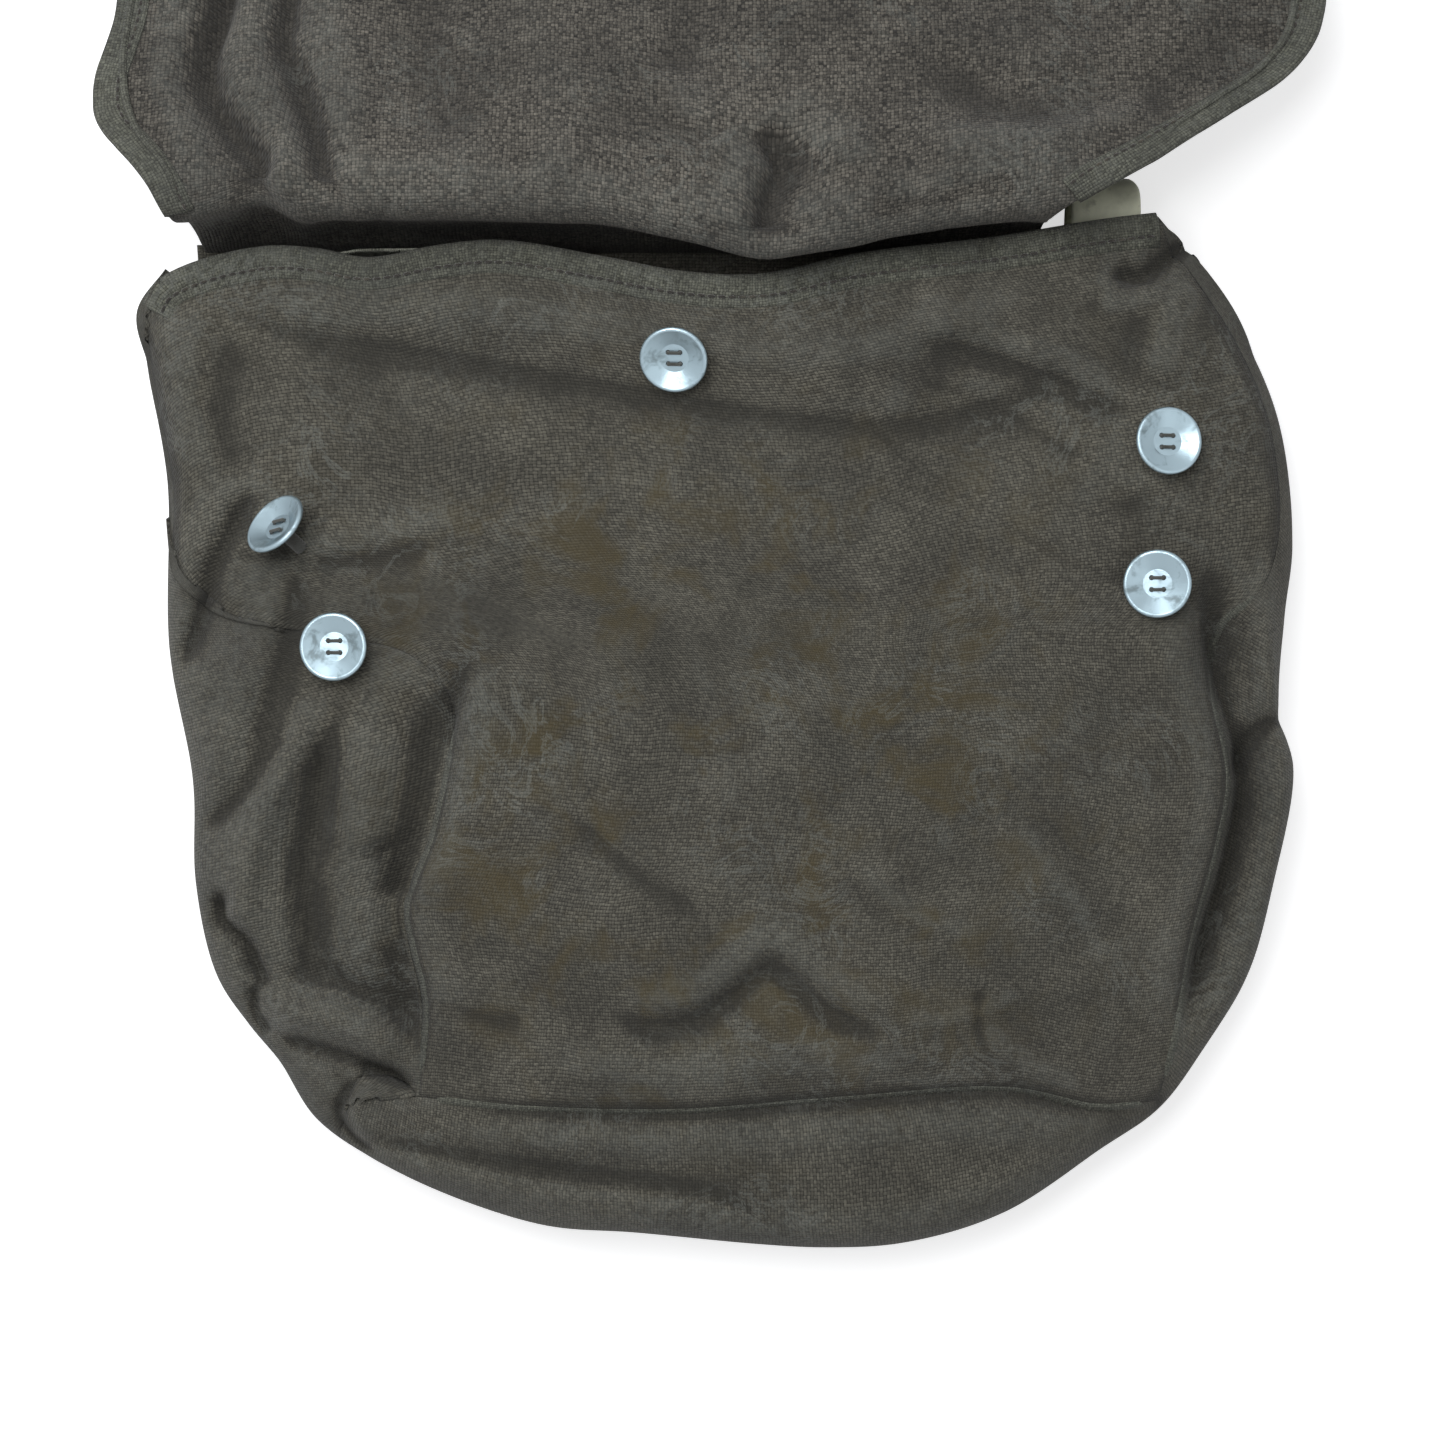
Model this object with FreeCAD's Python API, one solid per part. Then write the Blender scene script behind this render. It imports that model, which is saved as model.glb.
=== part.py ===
"""Canvas mail sack that lies on its back, with its lid flap thrown open.

Frame: +X runs across the mouth, +Y from the bag to the open flap, +Z up from the surface it lies on.
The origin is the middle of the whole object's footprint, on that surface. Millimetres throughout.
The bag is a slack pillow of canvas: a flat back panel, a crowned front panel and a gusset round the
sides and bottom, open at the mouth. The flap is sewn along the back panel's mouth edge. It stands up
beside the mouth, turns at the crease that it has when closed, and slopes down to the surface.
Points in plan are written from the front hem: x from the middle, y from the hem towards the flap.
"""
import FreeCAD
import Part

import math
import os

from FreeCAD import Placement, Rotation, Vector

# ---- Bag --------------------------------------------------------------------------------------
BAG_WIDTH = 380.0          # across the gussets at the widest
BAG_LENGTH = 326.0         # from the front hem to the bottom
BAG_HEIGHT = 58.0          # crown of the front panel above the surface
CROWN_RADIUS = 1150.0      # curvature of the front panel
CROWN_Y = -150.0           # highest point of the front panel
CANVAS = 1.6               # wall of doubled canvas
MOUTH_TAPER = 12.0         # how far each side draws in from its widest to the mouth
WIDEST_Y = -115.0
FOOT_TAPER = 10.0          # and from its widest to the bottom
SIDE_ROUND = 320.0         # rounding of the outline at its widest
BOTTOM_ROUND = 108.0       # rounding of the outline's bottom corners
GUSSET_TOP_ROUND = 18.0    # how the gusset rolls over towards the front panel
GUSSET_FOOT_ROUND = 11.0   # how the gusset rolls under towards the back panel
BACK_EXTRA = 8.0           # how far the back panel runs past the front hem
HEM_WIDTH = 7.5            # facing folded over the front panel's top edge
SEAM_LOW = 24.0            # lowest point of the seams between front panel and gusset
SEAM_CORNER = 9.0          # rounding of the front panel's corners
CORNER_SEAM_ANGLE = 52.0   # seams between side and bottom gusset, below the horizontal

# Corners of the front panel: distance in from the bag's side, and y from the hem
LEFT_SEAM_TOP = (20.0, -105.0)
LEFT_SEAM_WAIST = (90.0, -205.0)
RIGHT_SEAM_TOP = (31.0, -60.0)
RIGHT_SEAM_WAIST = (22.0, -165.0)
SEAM_AT_HEM = 19.0         # distance in from the side at the hem
BOTTOM_SEAM = (90.0, 40.0, 44.0)   # in from the left, in from the right, up from the bottom

# ---- Buttons ------------------------------------------------------------------------------------
BUTTON_DIAMETER = 22.5
BUTTON_PLATE = 1.2         # sheet thickness at the four holes
BUTTON_FLAT = 4.8          # radius of the flat middle
BUTTON_RIM = 0.95          # radius of the rolled rim
BUTTON_DISH = 2.7          # height of the rim's centre over the underside of the middle
HOLE_RADIUS = 0.85
HOLE_SPACING = 3.9
THREAD_RADIUS = 0.55
SHANK_RADIUS = 2.3
SHANK = 3.4                # from the cloth to a button's underside
TILTED_SHANK = 5.0         # of a button that leans enough to need more
LOOSE_SHANK = 11.2         # of the button whose thread has worked loose
THREAD_GAP = 0.08          # between thread and button, and thread and cloth
# distance in from the bag's side, y from the hem, lean from vertical, direction of lean, shank
SIDE_BUTTONS = {
    "left_upper": (-1, 53.5, -94.5, 50.0, 135.0, LOOSE_SHANK),
    "left_lower": (-1, 65.5, -127.0, 7.0, 190.0, SHANK),
    "right_upper": (1, 41.5, -59.5, 12.0, 20.0, SHANK),
    "right_lower": (1, 43.5, -106.0, 10.0, 200.0, SHANK),
}
CENTER_BUTTON = (-12.5, -30.0, 26.0, 252.0, TILTED_SHANK)
STAY_MARGIN = 9.0          # how far a stay patch runs past the foot of a button's thread
STAY_THICKNESS = 1.2

# ---- Flap -----------------------------------------------------------------------------------------
FLAP_OVER = 20.0           # crease above the crown of the bag, measured along the standing stretch
FLAP_RISE_ANGLE = 88.0     # how that stretch stands when open
FLAP_LENGTH = 180.0        # from the crease to the free edge
FLAP_WIDTH = 400.0
CREASE_LEFT_INSET = 24.0   # in from the flap's full width at the crease
CREASE_RIGHT_INSET = 82.0
ROOT_INSET = 6.0           # in from the side of the mouth at the mouth seam
ROOT_STRAP_GAP = 9.0       # between the mouth seam's right end and the strap
LEFT_SHOULDER = 42.0       # from the crease to the full width
RIGHT_SHOULDER = 70.0
FLAP_CORNER = 46.0         # rounding of the flap's corners
BAND_WIDTH = 14.0          # doubled band round the flap's free edges
WELT_WIDTH = 2.4           # ridge of the turned seam inside the band
WELT_HEIGHT = 1.1
CREASE_GAP = 0.35          # clearance of cloth that turns about a crease
BUTTONHOLE_LENGTH = 26.0
BUTTONHOLE_WIDTH = 2.4
PATCH_WIDTH = 46.0         # patch sewn round a buttonhole
PATCH_HEIGHT = 24.0
PATCH_CORNER = 3.0
BUTTONHOLE_REACH = 124.0   # from the crease to the buttonholes
BUTTONHOLE_INSET = 65.0    # in from the flap's side

# ---- Liner and strap --------------------------------------------------------------------------------
LINER_THICKNESS = 1.0
LINER_LENGTH = 215.0
LINER_INSET = 50.0         # in from the bag's side
LINER_CORNER = 14.0
LINER_GAP = 0.3            # between liner, strap and canvas
LINER_LIP = 20.0           # height that the liner's top edge stands up inside the mouth
LINER_LIP_BACK = 5.0       # from the back panel's end to that lip
STRAP_WIDTH = 26.0
STRAP_THICKNESS = 3.0
STRAP_INSET = 59.0         # from the bag's side to the middle of the strap
STRAP_ROOT = 60.0          # length of its riveted root inside the bag
STRAP_TAIL = 95.0          # length of its tail, which runs back over the root
STRAP_OUT = 6.0            # where the strap starts to turn up, past the front hem
STRAP_TURN = 9.5           # radius of the turn up and of the turn back in
STRAP_LOOP = 6.0           # radius over the top
STRAP_LOOP_Z = 25.0        # height of that turn's centre
RIVET_RADIUS = 1.6
RIVET_HEAD_RADIUS = 3.6
RIVET_HEAD = 1.2
RIVET_PLACES = (-18.0, -42.0)

# ---- Derived ------------------------------------------------------------------------------------------
HALF = BAG_WIDTH / 2
MOUTH_HALF = HALF - MOUTH_TAPER
CLOTH = CANVAS / 2
PAST_MOUTH = BACK_EXTRA + 20.0             # where the pillow ends, before the mouth is cut
CROWN = Vector(0, CROWN_Y, BAG_HEIGHT - CROWN_RADIUS)
STRAP_X = HALF - STRAP_INSET
STRAP_LEFT = STRAP_X - STRAP_WIDTH / 2
FLAP_RISE = BAG_HEIGHT + FLAP_OVER
RISE = math.radians(FLAP_RISE_ANGLE)
HINGE = Vector(0, BACK_EXTRA + CREASE_GAP + CLOTH, CLOTH)
CREASE = HINGE + Vector(0, FLAP_RISE * math.cos(RISE), FLAP_RISE * math.sin(RISE))
FLAP_SLOPE = math.asin(CREASE.z / math.hypot(FLAP_LENGTH, CLOTH)) - math.atan(CLOTH / FLAP_LENGTH)
FLAP_START = (CLOTH * (1 + math.sin(FLAP_SLOPE)) + CREASE_GAP) / math.cos(FLAP_SLOPE)
FLAP_END_Y = CREASE.y + FLAP_LENGTH * math.cos(FLAP_SLOPE) + CLOTH * math.sin(FLAP_SLOPE)
HEM_Y = (BAG_LENGTH - FLAP_END_Y) / 2      # the front hem in the object's frame
BIG = 1000.0


# ---- Helpers --------------------------------------------------------------------------------------
def box(low, high):
    """A box between two corners."""
    return Part.makeBox(high[0] - low[0], high[1] - low[1], high[2] - low[2], Vector(*low))


def rounded_polygon(points, radii):
    """A closed wire through points in plan. Each corner is an arc of its radius, or sharp at 0."""
    corners = [Vector(x, y, 0) for x, y in points]
    ends = []
    for i, here in enumerate(corners):
        before = (corners[i - 1] - here).normalize()
        after = (corners[(i + 1) % len(corners)] - here).normalize()
        half_angle = before.getAngle(after) / 2
        reach = radii[i] / math.tan(half_angle)
        sagitta = radii[i] / math.sin(half_angle) - radii[i]
        middle = (before + after).normalize()
        ends.append((here + before * reach, here + middle * sagitta, here + after * reach))
    edges = []
    for i, (start, nearest, end) in enumerate(ends):
        following = ends[(i + 1) % len(ends)][0]
        if radii[i] > 0:
            edges.append(Part.Arc(start, nearest, end).toShape())
        edges.append(Part.LineSegment(end, following).toShape())
    return Part.Wire(edges)


def rounded_box(low, high, corner):
    """A flat box with its four upright edges rounded."""
    points = [(low[0], low[1]), (high[0], low[1]), (high[0], high[1]), (low[0], high[1])]
    return prism(rounded_polygon(points, [corner] * 4), low[2], high[2])


def prism(wire, low, high):
    """The wire's face, from one height to another."""
    face = Part.Face(wire)
    face.translate(Vector(0, 0, low))
    return face.extrude(Vector(0, 0, high - low))


def turned(shape, angle, start):
    """The shape, drawn flat along +Y from the origin, turned up about X by that angle and moved to start."""
    shape = shape.copy()
    shape.Placement = Placement(start, Rotation(Vector(1, 0, 0), math.degrees(angle)))
    return shape


# ---- Bag ------------------------------------------------------------------------------------------
def bag_outline(inset):
    """The bag's outline in plan, moved in by inset."""
    foot = HALF - FOOT_TAPER
    points = [
        (-MOUTH_HALF, PAST_MOUTH), (-HALF, WIDEST_Y), (-foot, -BAG_LENGTH),
        (foot, -BAG_LENGTH), (HALF, WIDEST_Y), (MOUTH_HALF, PAST_MOUTH),
    ]
    outline = rounded_polygon(points, [0, SIDE_ROUND, BOTTOM_ROUND, BOTTOM_ROUND, SIDE_ROUND, 0])
    return outline.makeOffset2D(-inset) if inset else outline


def crown_height(x, y):
    """Height of the crowned front over the surface."""
    return CROWN.z + math.sqrt(CROWN_RADIUS ** 2 - x ** 2 - (y - CROWN_Y) ** 2)


def gusset_rounds():
    """The two roundings of the gusset, limited by the lowest wall that carries them."""
    wall = crown_height(MOUTH_HALF, PAST_MOUTH)
    return min(GUSSET_TOP_ROUND, 0.55 * wall), min(GUSSET_FOOT_ROUND, 0.35 * wall)


def pillow(inset):
    """The bag's outside moved in by inset, as a solid that runs past the mouth."""
    top_round, foot_round = gusset_rounds()
    past = PAST_MOUTH - inset - 1e-3
    block = prism(bag_outline(inset), inset, 2 * BAG_HEIGHT)
    solid = block.common(Part.makeSphere(CROWN_RADIUS - inset, CROWN))
    top = [e for e in solid.Edges if e.BoundBox.ZMin > inset + 1e-3 and e.BoundBox.YMin < past]
    solid = solid.makeFillet(top_round - inset, top)
    foot = [e for e in solid.Edges if e.BoundBox.ZMax < inset + 1e-3 and e.BoundBox.YMin < past]
    return solid.makeFillet(foot_round - inset, foot)


def past_the_mouth():
    """Everything beyond the mouth, which slants from the front hem down to the longer back panel."""
    profile = [
        (0, BAG_HEIGHT), (BACK_EXTRA, 0), (BACK_EXTRA, -BIG),
        (BIG, -BIG), (BIG, BIG), (0, BIG), (0, BAG_HEIGHT),
    ]
    face = Part.Face(Part.makePolygon([Vector(-BIG, y, z) for y, z in profile]))
    return face.extrude(Vector(2 * BIG, 0, 0))


def front_region(low_y, high_y):
    """A tall prism over the front panel, between two distances from the hem."""
    left, right, up = BOTTOM_SEAM
    points = [
        (-HALF + SEAM_AT_HEM, PAST_MOUTH),
        (-HALF + LEFT_SEAM_TOP[0], LEFT_SEAM_TOP[1]),
        (-HALF + LEFT_SEAM_WAIST[0], LEFT_SEAM_WAIST[1]),
        (-HALF + left, up - BAG_LENGTH),
        (HALF - right, up - BAG_LENGTH),
        (HALF - RIGHT_SEAM_WAIST[0], RIGHT_SEAM_WAIST[1]),
        (HALF - RIGHT_SEAM_TOP[0], RIGHT_SEAM_TOP[1]),
        (HALF - SEAM_AT_HEM, PAST_MOUTH),
    ]
    outline = rounded_polygon(points, [0] + [SEAM_CORNER] * 6 + [0])
    return prism(outline, SEAM_LOW, BIG).common(box((-BIG, low_y, 0), (BIG, high_y, BIG)))


def bottom_wedge():
    """The part of the plan that belongs to the bottom gusset, between the two corner seams."""
    apex = Vector(0, BOTTOM_ROUND - BAG_LENGTH, 0)
    slant = math.radians(CORNER_SEAM_ANGLE)
    spread = BOTTOM_ROUND / math.tan(slant)
    left = Vector(-HALF + FOOT_TAPER + BOTTOM_ROUND, apex.y, 0)
    right = Vector(-left.x, apex.y, 0)
    out = Vector(spread + BIG * math.cos(slant), -BIG * math.sin(slant), 0)
    points = [left, left + Vector(-out.x, out.y, 0), right + out, right, left]
    return Part.Face(Part.makePolygon(points)).extrude(Vector(0, 0, BIG))


def bag_panels():
    """The bag's walls, as solids that meet at their seams."""
    outside = pillow(0.0).cut(past_the_mouth())
    hollow = pillow(CANVAS)
    wall = outside.cut(hollow)
    plate = prism(bag_outline(gusset_rounds()[1]), -1.0, CANVAS)
    gusset = wall.cut([front_region(-BIG, BIG), plate])
    sides = gusset.cut(bottom_wedge())
    return {
        "front_panel": wall.common(front_region(-BIG, -HEM_WIDTH)),
        "front_hem": outside.cut(pillow(2 * CANVAS)).common(front_region(-HEM_WIDTH, BIG)),
        "back_panel": wall.common(plate),
        "bottom_gusset": gusset.common(bottom_wedge()),
        "left_gusset": sides.common(box((-BIG, -BIG, -1), (0, BIG, BIG))),
        "right_gusset": sides.common(box((0, -BIG, -1), (BIG, BIG, BIG))),
    }


def button_places():
    """Each button's foot, lean, direction of lean and shank."""
    places = {"center": CENTER_BUTTON}
    for name, (side, inset, y, lean, direction, shank) in SIDE_BUTTONS.items():
        places[name] = (side * (HALF - inset), y, lean, direction, shank)
    return places


def stay_patches():
    """Patches of canvas under the front panel, where the button thread is tied off."""
    lining = pillow(CANVAS).cut(pillow(CANVAS + STAY_THICKNESS))
    places = button_places()
    patches = {}
    for side in ("center", "left", "right"):
        feet = [(place[0], place[1]) for name, place in places.items() if name.startswith(side)]
        xs = [x for x, _ in feet]
        ys = [y for _, y in feet]
        low = (min(xs) - STAY_MARGIN, min(ys) - STAY_MARGIN, SEAM_LOW)
        high = (max(xs) + STAY_MARGIN, max(ys) + STAY_MARGIN, BIG)
        patches[f"button_stay_{side}"] = lining.common(box(low, high))
    return patches


# ---- Buttons ----------------------------------------------------------------------------------------
def hole_centres():
    """The four holes, on a square."""
    half = HOLE_SPACING / 2
    return [(x, y) for x in (-half, half) for y in (-half, half)]


def button_disc():
    """A dished button with a rolled rim and four holes. The middle of its underside is the origin."""
    outer = BUTTON_DIAMETER / 2
    rim = outer - 1.6 * BUTTON_RIM
    rim_foot = Vector(rim, 0, BUTTON_DISH - 0.8 * BUTTON_RIM)
    rim_top = Vector(rim, 0, BUTTON_DISH + 0.8 * BUTTON_RIM)
    line = Part.LineSegment
    profile = Part.Wire([
        line(Vector(0, 0, 0), Vector(BUTTON_FLAT, 0, 0)).toShape(),
        line(Vector(BUTTON_FLAT, 0, 0), rim_foot).toShape(),
        Part.Arc(rim_foot, Vector(outer, 0, BUTTON_DISH), rim_top).toShape(),
        line(rim_top, Vector(BUTTON_FLAT, 0, BUTTON_PLATE)).toShape(),
        line(Vector(BUTTON_FLAT, 0, BUTTON_PLATE), Vector(0, 0, BUTTON_PLATE)).toShape(),
        line(Vector(0, 0, BUTTON_PLATE), Vector(0, 0, 0)).toShape(),
    ])
    disc = Part.Face(profile).revolve(Vector(0, 0, 0), Vector(0, 0, 1), 360)
    low = Vector(0, 0, -BUTTON_PLATE)
    places = [low + Vector(x, y, 0) for x, y in hole_centres()]
    return disc.cut([Part.makeCylinder(HOLE_RADIUS, 3 * BUTTON_PLATE, place) for place in places])


def button_thread(shank):
    """Two bars of thread over the middle, their four legs through the holes, and the wound shank below."""
    half = HOLE_SPACING / 2
    bar_z = BUTTON_PLATE + THREAD_GAP + THREAD_RADIUS
    web_top = -THREAD_GAP
    web_z = web_top - 2 * THREAD_RADIUS
    web = half + THREAD_RADIUS
    pieces = [box((-web, -web, web_z), (web, web, web_top))]
    for x, y in hole_centres():
        pieces.append(Part.makeCylinder(THREAD_RADIUS, bar_z - web_z, Vector(x, y, web_z)))
        pieces.append(Part.makeSphere(THREAD_RADIUS, Vector(x, y, bar_z)))
    for y in (-half, half):
        start = Vector(-half, y, bar_z)
        pieces.append(Part.makeCylinder(THREAD_RADIUS, HOLE_SPACING, start, Vector(1, 0, 0)))
    wound = Part.makeCylinder(SHANK_RADIUS, shank + web_z + THREAD_RADIUS, Vector(0, 0, -shank))
    return wound.fuse(pieces).removeSplitter()


def button_placement(x, y, lean, direction, shank):
    """Where a button stands: its thread foot on the front panel, and its axis leaning from vertical."""
    lean, direction = math.radians(lean), math.radians(direction)
    across = math.sin(lean)
    axis = Vector(across * math.cos(direction), across * math.sin(direction), math.cos(lean))
    slope = math.hypot(x, y - CROWN_Y) / CROWN_RADIUS
    foot = Vector(x, y, crown_height(x, y) + SHANK_RADIUS * (across + slope) + THREAD_GAP)
    return Placement(foot + axis * shank, Rotation(Vector(0, 0, 1), axis))


def buttons():
    """Five buttons and their thread."""
    made = {}
    for name, place in button_places().items():
        disc, thread = button_disc(), button_thread(place[-1])
        disc.Placement = thread.Placement = button_placement(*place)
        made[f"button_{name}"] = disc
        made[f"button_thread_{name}"] = thread
    return made


# ---- Flap -------------------------------------------------------------------------------------------
def flap_outline(inset):
    """The flap from the crease to its free edge, drawn flat. Inset moves its three free edges in."""
    half = FLAP_WIDTH / 2 - inset
    points = [
        (CREASE_LEFT_INSET - half, FLAP_START), (-half, LEFT_SHOULDER), (-half, FLAP_LENGTH - inset),
        (half, FLAP_LENGTH - inset), (half, RIGHT_SHOULDER), (half - CREASE_RIGHT_INSET, FLAP_START),
    ]
    corner = FLAP_CORNER - inset
    return rounded_polygon(points, [0, corner, corner, corner, corner, 0])


def buttonhole_x():
    """How far the buttonholes lie from the middle."""
    return FLAP_WIDTH / 2 - BUTTONHOLE_INSET


def buttonholes(low, high):
    """The two buttonhole slots, which lie across the flap."""
    slots = []
    for x in (-buttonhole_x(), buttonhole_x()):
        left = (x - BUTTONHOLE_LENGTH / 2, BUTTONHOLE_REACH - BUTTONHOLE_WIDTH / 2, low)
        right = (x + BUTTONHOLE_LENGTH / 2, BUTTONHOLE_REACH + BUTTONHOLE_WIDTH / 2, high)
        slots.append(rounded_box(left, right, 0.49 * BUTTONHOLE_WIDTH))
    return slots


def flap_front():
    """The flap beyond its crease: panel, three bands, the welt of their seam and two buttonhole patches."""
    low, high = -CLOTH, CLOTH
    inner = prism(flap_outline(BAND_WIDTH), low, high)
    ring = prism(flap_outline(0.0), low, high).cut(inner)
    slots = buttonholes(low - 1, high + STAY_THICKNESS + 1)
    end_line = FLAP_LENGTH - FLAP_CORNER
    welt_top = high + WELT_HEIGHT
    welt = prism(flap_outline(BAND_WIDTH), high, welt_top)
    welt = welt.cut(prism(flap_outline(BAND_WIDTH + WELT_WIDTH), high, welt_top))
    crease_side = box((-BIG, -BIG, -BIG), (BIG, FLAP_START + WELT_WIDTH, BIG))
    made = {
        "flap_panel": inner.cut(slots),
        "flap_band_left": ring.common(box((-BIG, -BIG, -BIG), (0, end_line, BIG))),
        "flap_band_right": ring.common(box((0, -BIG, -BIG), (BIG, end_line, BIG))),
        "flap_band_end": ring.common(box((-BIG, end_line, -BIG), (BIG, BIG, BIG))),
        "flap_welt": welt.cut(crease_side),
    }
    for side, x in (("left", -buttonhole_x()), ("right", buttonhole_x())):
        near = (x - PATCH_WIDTH / 2, BUTTONHOLE_REACH - PATCH_HEIGHT / 2, high)
        far = (x + PATCH_WIDTH / 2, BUTTONHOLE_REACH + PATCH_HEIGHT / 2, high + STAY_THICKNESS)
        made[f"buttonhole_patch_{side}"] = rounded_box(near, far, PATCH_CORNER).cut(slots)
    return {name: turned(shape, -FLAP_SLOPE, CREASE) for name, shape in made.items()}


def flap_root():
    """The stretch of flap that covers the mouth, with a rolled edge at the mouth seam and at the crease."""
    seam_left, seam_right = -MOUTH_HALF + ROOT_INSET, STRAP_LEFT - ROOT_STRAP_GAP
    crease_left, crease_right = CREASE_LEFT_INSET - FLAP_WIDTH / 2, FLAP_WIDTH / 2 - CREASE_RIGHT_INSET
    points = [(seam_left, 0), (seam_right, 0), (crease_right, FLAP_RISE), (crease_left, FLAP_RISE)]
    sheet = prism(rounded_polygon(points, [0] * 4), -CLOTH, CLOTH)
    along = Vector(1, 0, 0)
    seam_roll = Part.makeCylinder(CLOTH, seam_right - seam_left, Vector(seam_left, 0, 0), along)
    crease_start = Vector(crease_left, FLAP_RISE, 0)
    crease_roll = Part.makeCylinder(CLOTH, crease_right - crease_left, crease_start, along)
    return {"flap_root": turned(sheet.fuse([seam_roll, crease_roll]).removeSplitter(), RISE, HINGE)}


# ---- Liner and strap ----------------------------------------------------------------------------------
def liner():
    """The cotton liner: a flat pouch on the back panel, whose top edge stands up inside the mouth."""
    floor = CANVAS + LINER_GAP
    lip = BACK_EXTRA - LINER_LIP_BACK
    left, right = -HALF + LINER_INSET, STRAP_LEFT - LINER_GAP
    pouch = rounded_box((left, -LINER_LENGTH, floor), (right, 0, floor + 2 * LINER_THICKNESS), LINER_CORNER)
    apron = box((left, -LINER_CORNER - LINER_THICKNESS, floor), (right, lip, floor + LINER_THICKNESS))
    stand = box((left, lip - LINER_THICKNESS, floor), (right, lip, floor + LINER_LIP))
    return {"inner_liner": pouch.fuse([apron, stand]).removeSplitter()}


def arc(start, middle, end):
    """An arc in the strap's plane, through three (y, z) points."""
    return Part.Arc(*[Vector(0, y, z) for y, z in (start, middle, end)]).toShape()


def run(start, end):
    """A straight run in the strap's plane, between two (y, z) points."""
    return Part.LineSegment(Vector(0, *start), Vector(0, *end)).toShape()


def strap():
    """The leather strap: riveted down inside the mouth, out over a loop and back in over its own root."""
    low = CANVAS + LINER_GAP + STRAP_THICKNESS / 2
    high = low + STRAP_THICKNESS + RIVET_HEAD + LINER_GAP
    out = STRAP_OUT + STRAP_TURN
    back = out - 2 * STRAP_LOOP
    tail = back - STRAP_TURN
    short = STRAP_TURN * (1 - math.sqrt(0.5))
    path = Part.Wire([
        run((-STRAP_ROOT, low), (STRAP_OUT, low)),
        arc((STRAP_OUT, low), (out - short, low + short), (out, low + STRAP_TURN)),
        run((out, low + STRAP_TURN), (out, STRAP_LOOP_Z)),
        arc((out, STRAP_LOOP_Z), (out - STRAP_LOOP, STRAP_LOOP_Z + STRAP_LOOP), (back, STRAP_LOOP_Z)),
        run((back, STRAP_LOOP_Z), (back, high + STRAP_TURN)),
        arc((back, high + STRAP_TURN), (back - short, high + short), (tail, high)),
        run((tail, high), (-STRAP_TAIL, high)),
    ])
    half_width, half = STRAP_WIDTH / 2, STRAP_THICKNESS / 2
    corners = [(-half_width, -half), (half_width, -half), (half_width, half), (-half_width, half)]
    section = Part.makePolygon([Vector(x, -STRAP_ROOT, low + z) for x, z in corners + corners[:1]])
    ribbon = path.makePipeShell([section], True, False)
    ribbon.translate(Vector(STRAP_X, 0, 0))
    return ribbon.cut([rivet_hole(y, low + half) for y in RIVET_PLACES])


def rivet_hole(y, top):
    """The bore of one rivet, through back panel and strap root."""
    return Part.makeCylinder(RIVET_RADIUS, top + CANVAS, Vector(STRAP_X, y, -CANVAS))


def rivets():
    """The strap's rivets: a head on the strap and a shank that ends flush under the back panel."""
    top = CANVAS + LINER_GAP + STRAP_THICKNESS
    made = []
    for y in RIVET_PLACES:
        shank = Part.makeCylinder(RIVET_RADIUS, top + RIVET_HEAD / 2, Vector(STRAP_X, y, 0))
        head = Part.makeCone(RIVET_HEAD_RADIUS, RIVET_HEAD_RADIUS / 2, RIVET_HEAD, Vector(STRAP_X, y, top))
        made.append(shank.fuse(head).removeSplitter())
    return Part.makeCompound(made)


# ---- Export -------------------------------------------------------------------------------------------
def build():
    """Every node, placed in the object's frame."""
    nodes = bag_panels()
    nodes["back_panel"] = nodes["back_panel"].cut([rivet_hole(y, CANVAS) for y in RIVET_PLACES])
    nodes.update(stay_patches())
    nodes.update(buttons())
    nodes.update(flap_root())
    nodes.update(flap_front())
    nodes.update(liner())
    nodes["strap"] = strap()
    nodes["strap_rivets"] = rivets()
    for shape in nodes.values():
        shape.translate(Vector(0, HEM_Y, 0))
    return nodes


def main():
    """Write each node to its own STEP file."""
    os.makedirs("parts", exist_ok=True)
    for name, shape in build().items():
        solids = shape.Solids
        kept = Part.makeCompound(solids) if len(solids) > 1 else solids[0]
        kept.exportStep(os.path.join("parts", f"{name}.step"))
        print(f"{name}: {len(solids)} solid(s), valid {kept.isValid()}, {kept.Volume:.1f} cubic mm")
    place = Vector(0, HEM_Y, 0)
    print("mouth hinge", HINGE + place, "crease", CREASE + place, "slope", math.degrees(FLAP_SLOPE))


main()
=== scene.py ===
"""Canvas mail sack that lies on its back with its lid flap thrown open.

The file is laid out as a Blender add-on and is run as a script. Lengths in the shape functions are
millimetres in the bag's plan: x from the middle of the bag, y from the front hem towards the flap,
z up from the surface. put() moves them into the model's frame, in metres.
"""
import math

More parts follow.
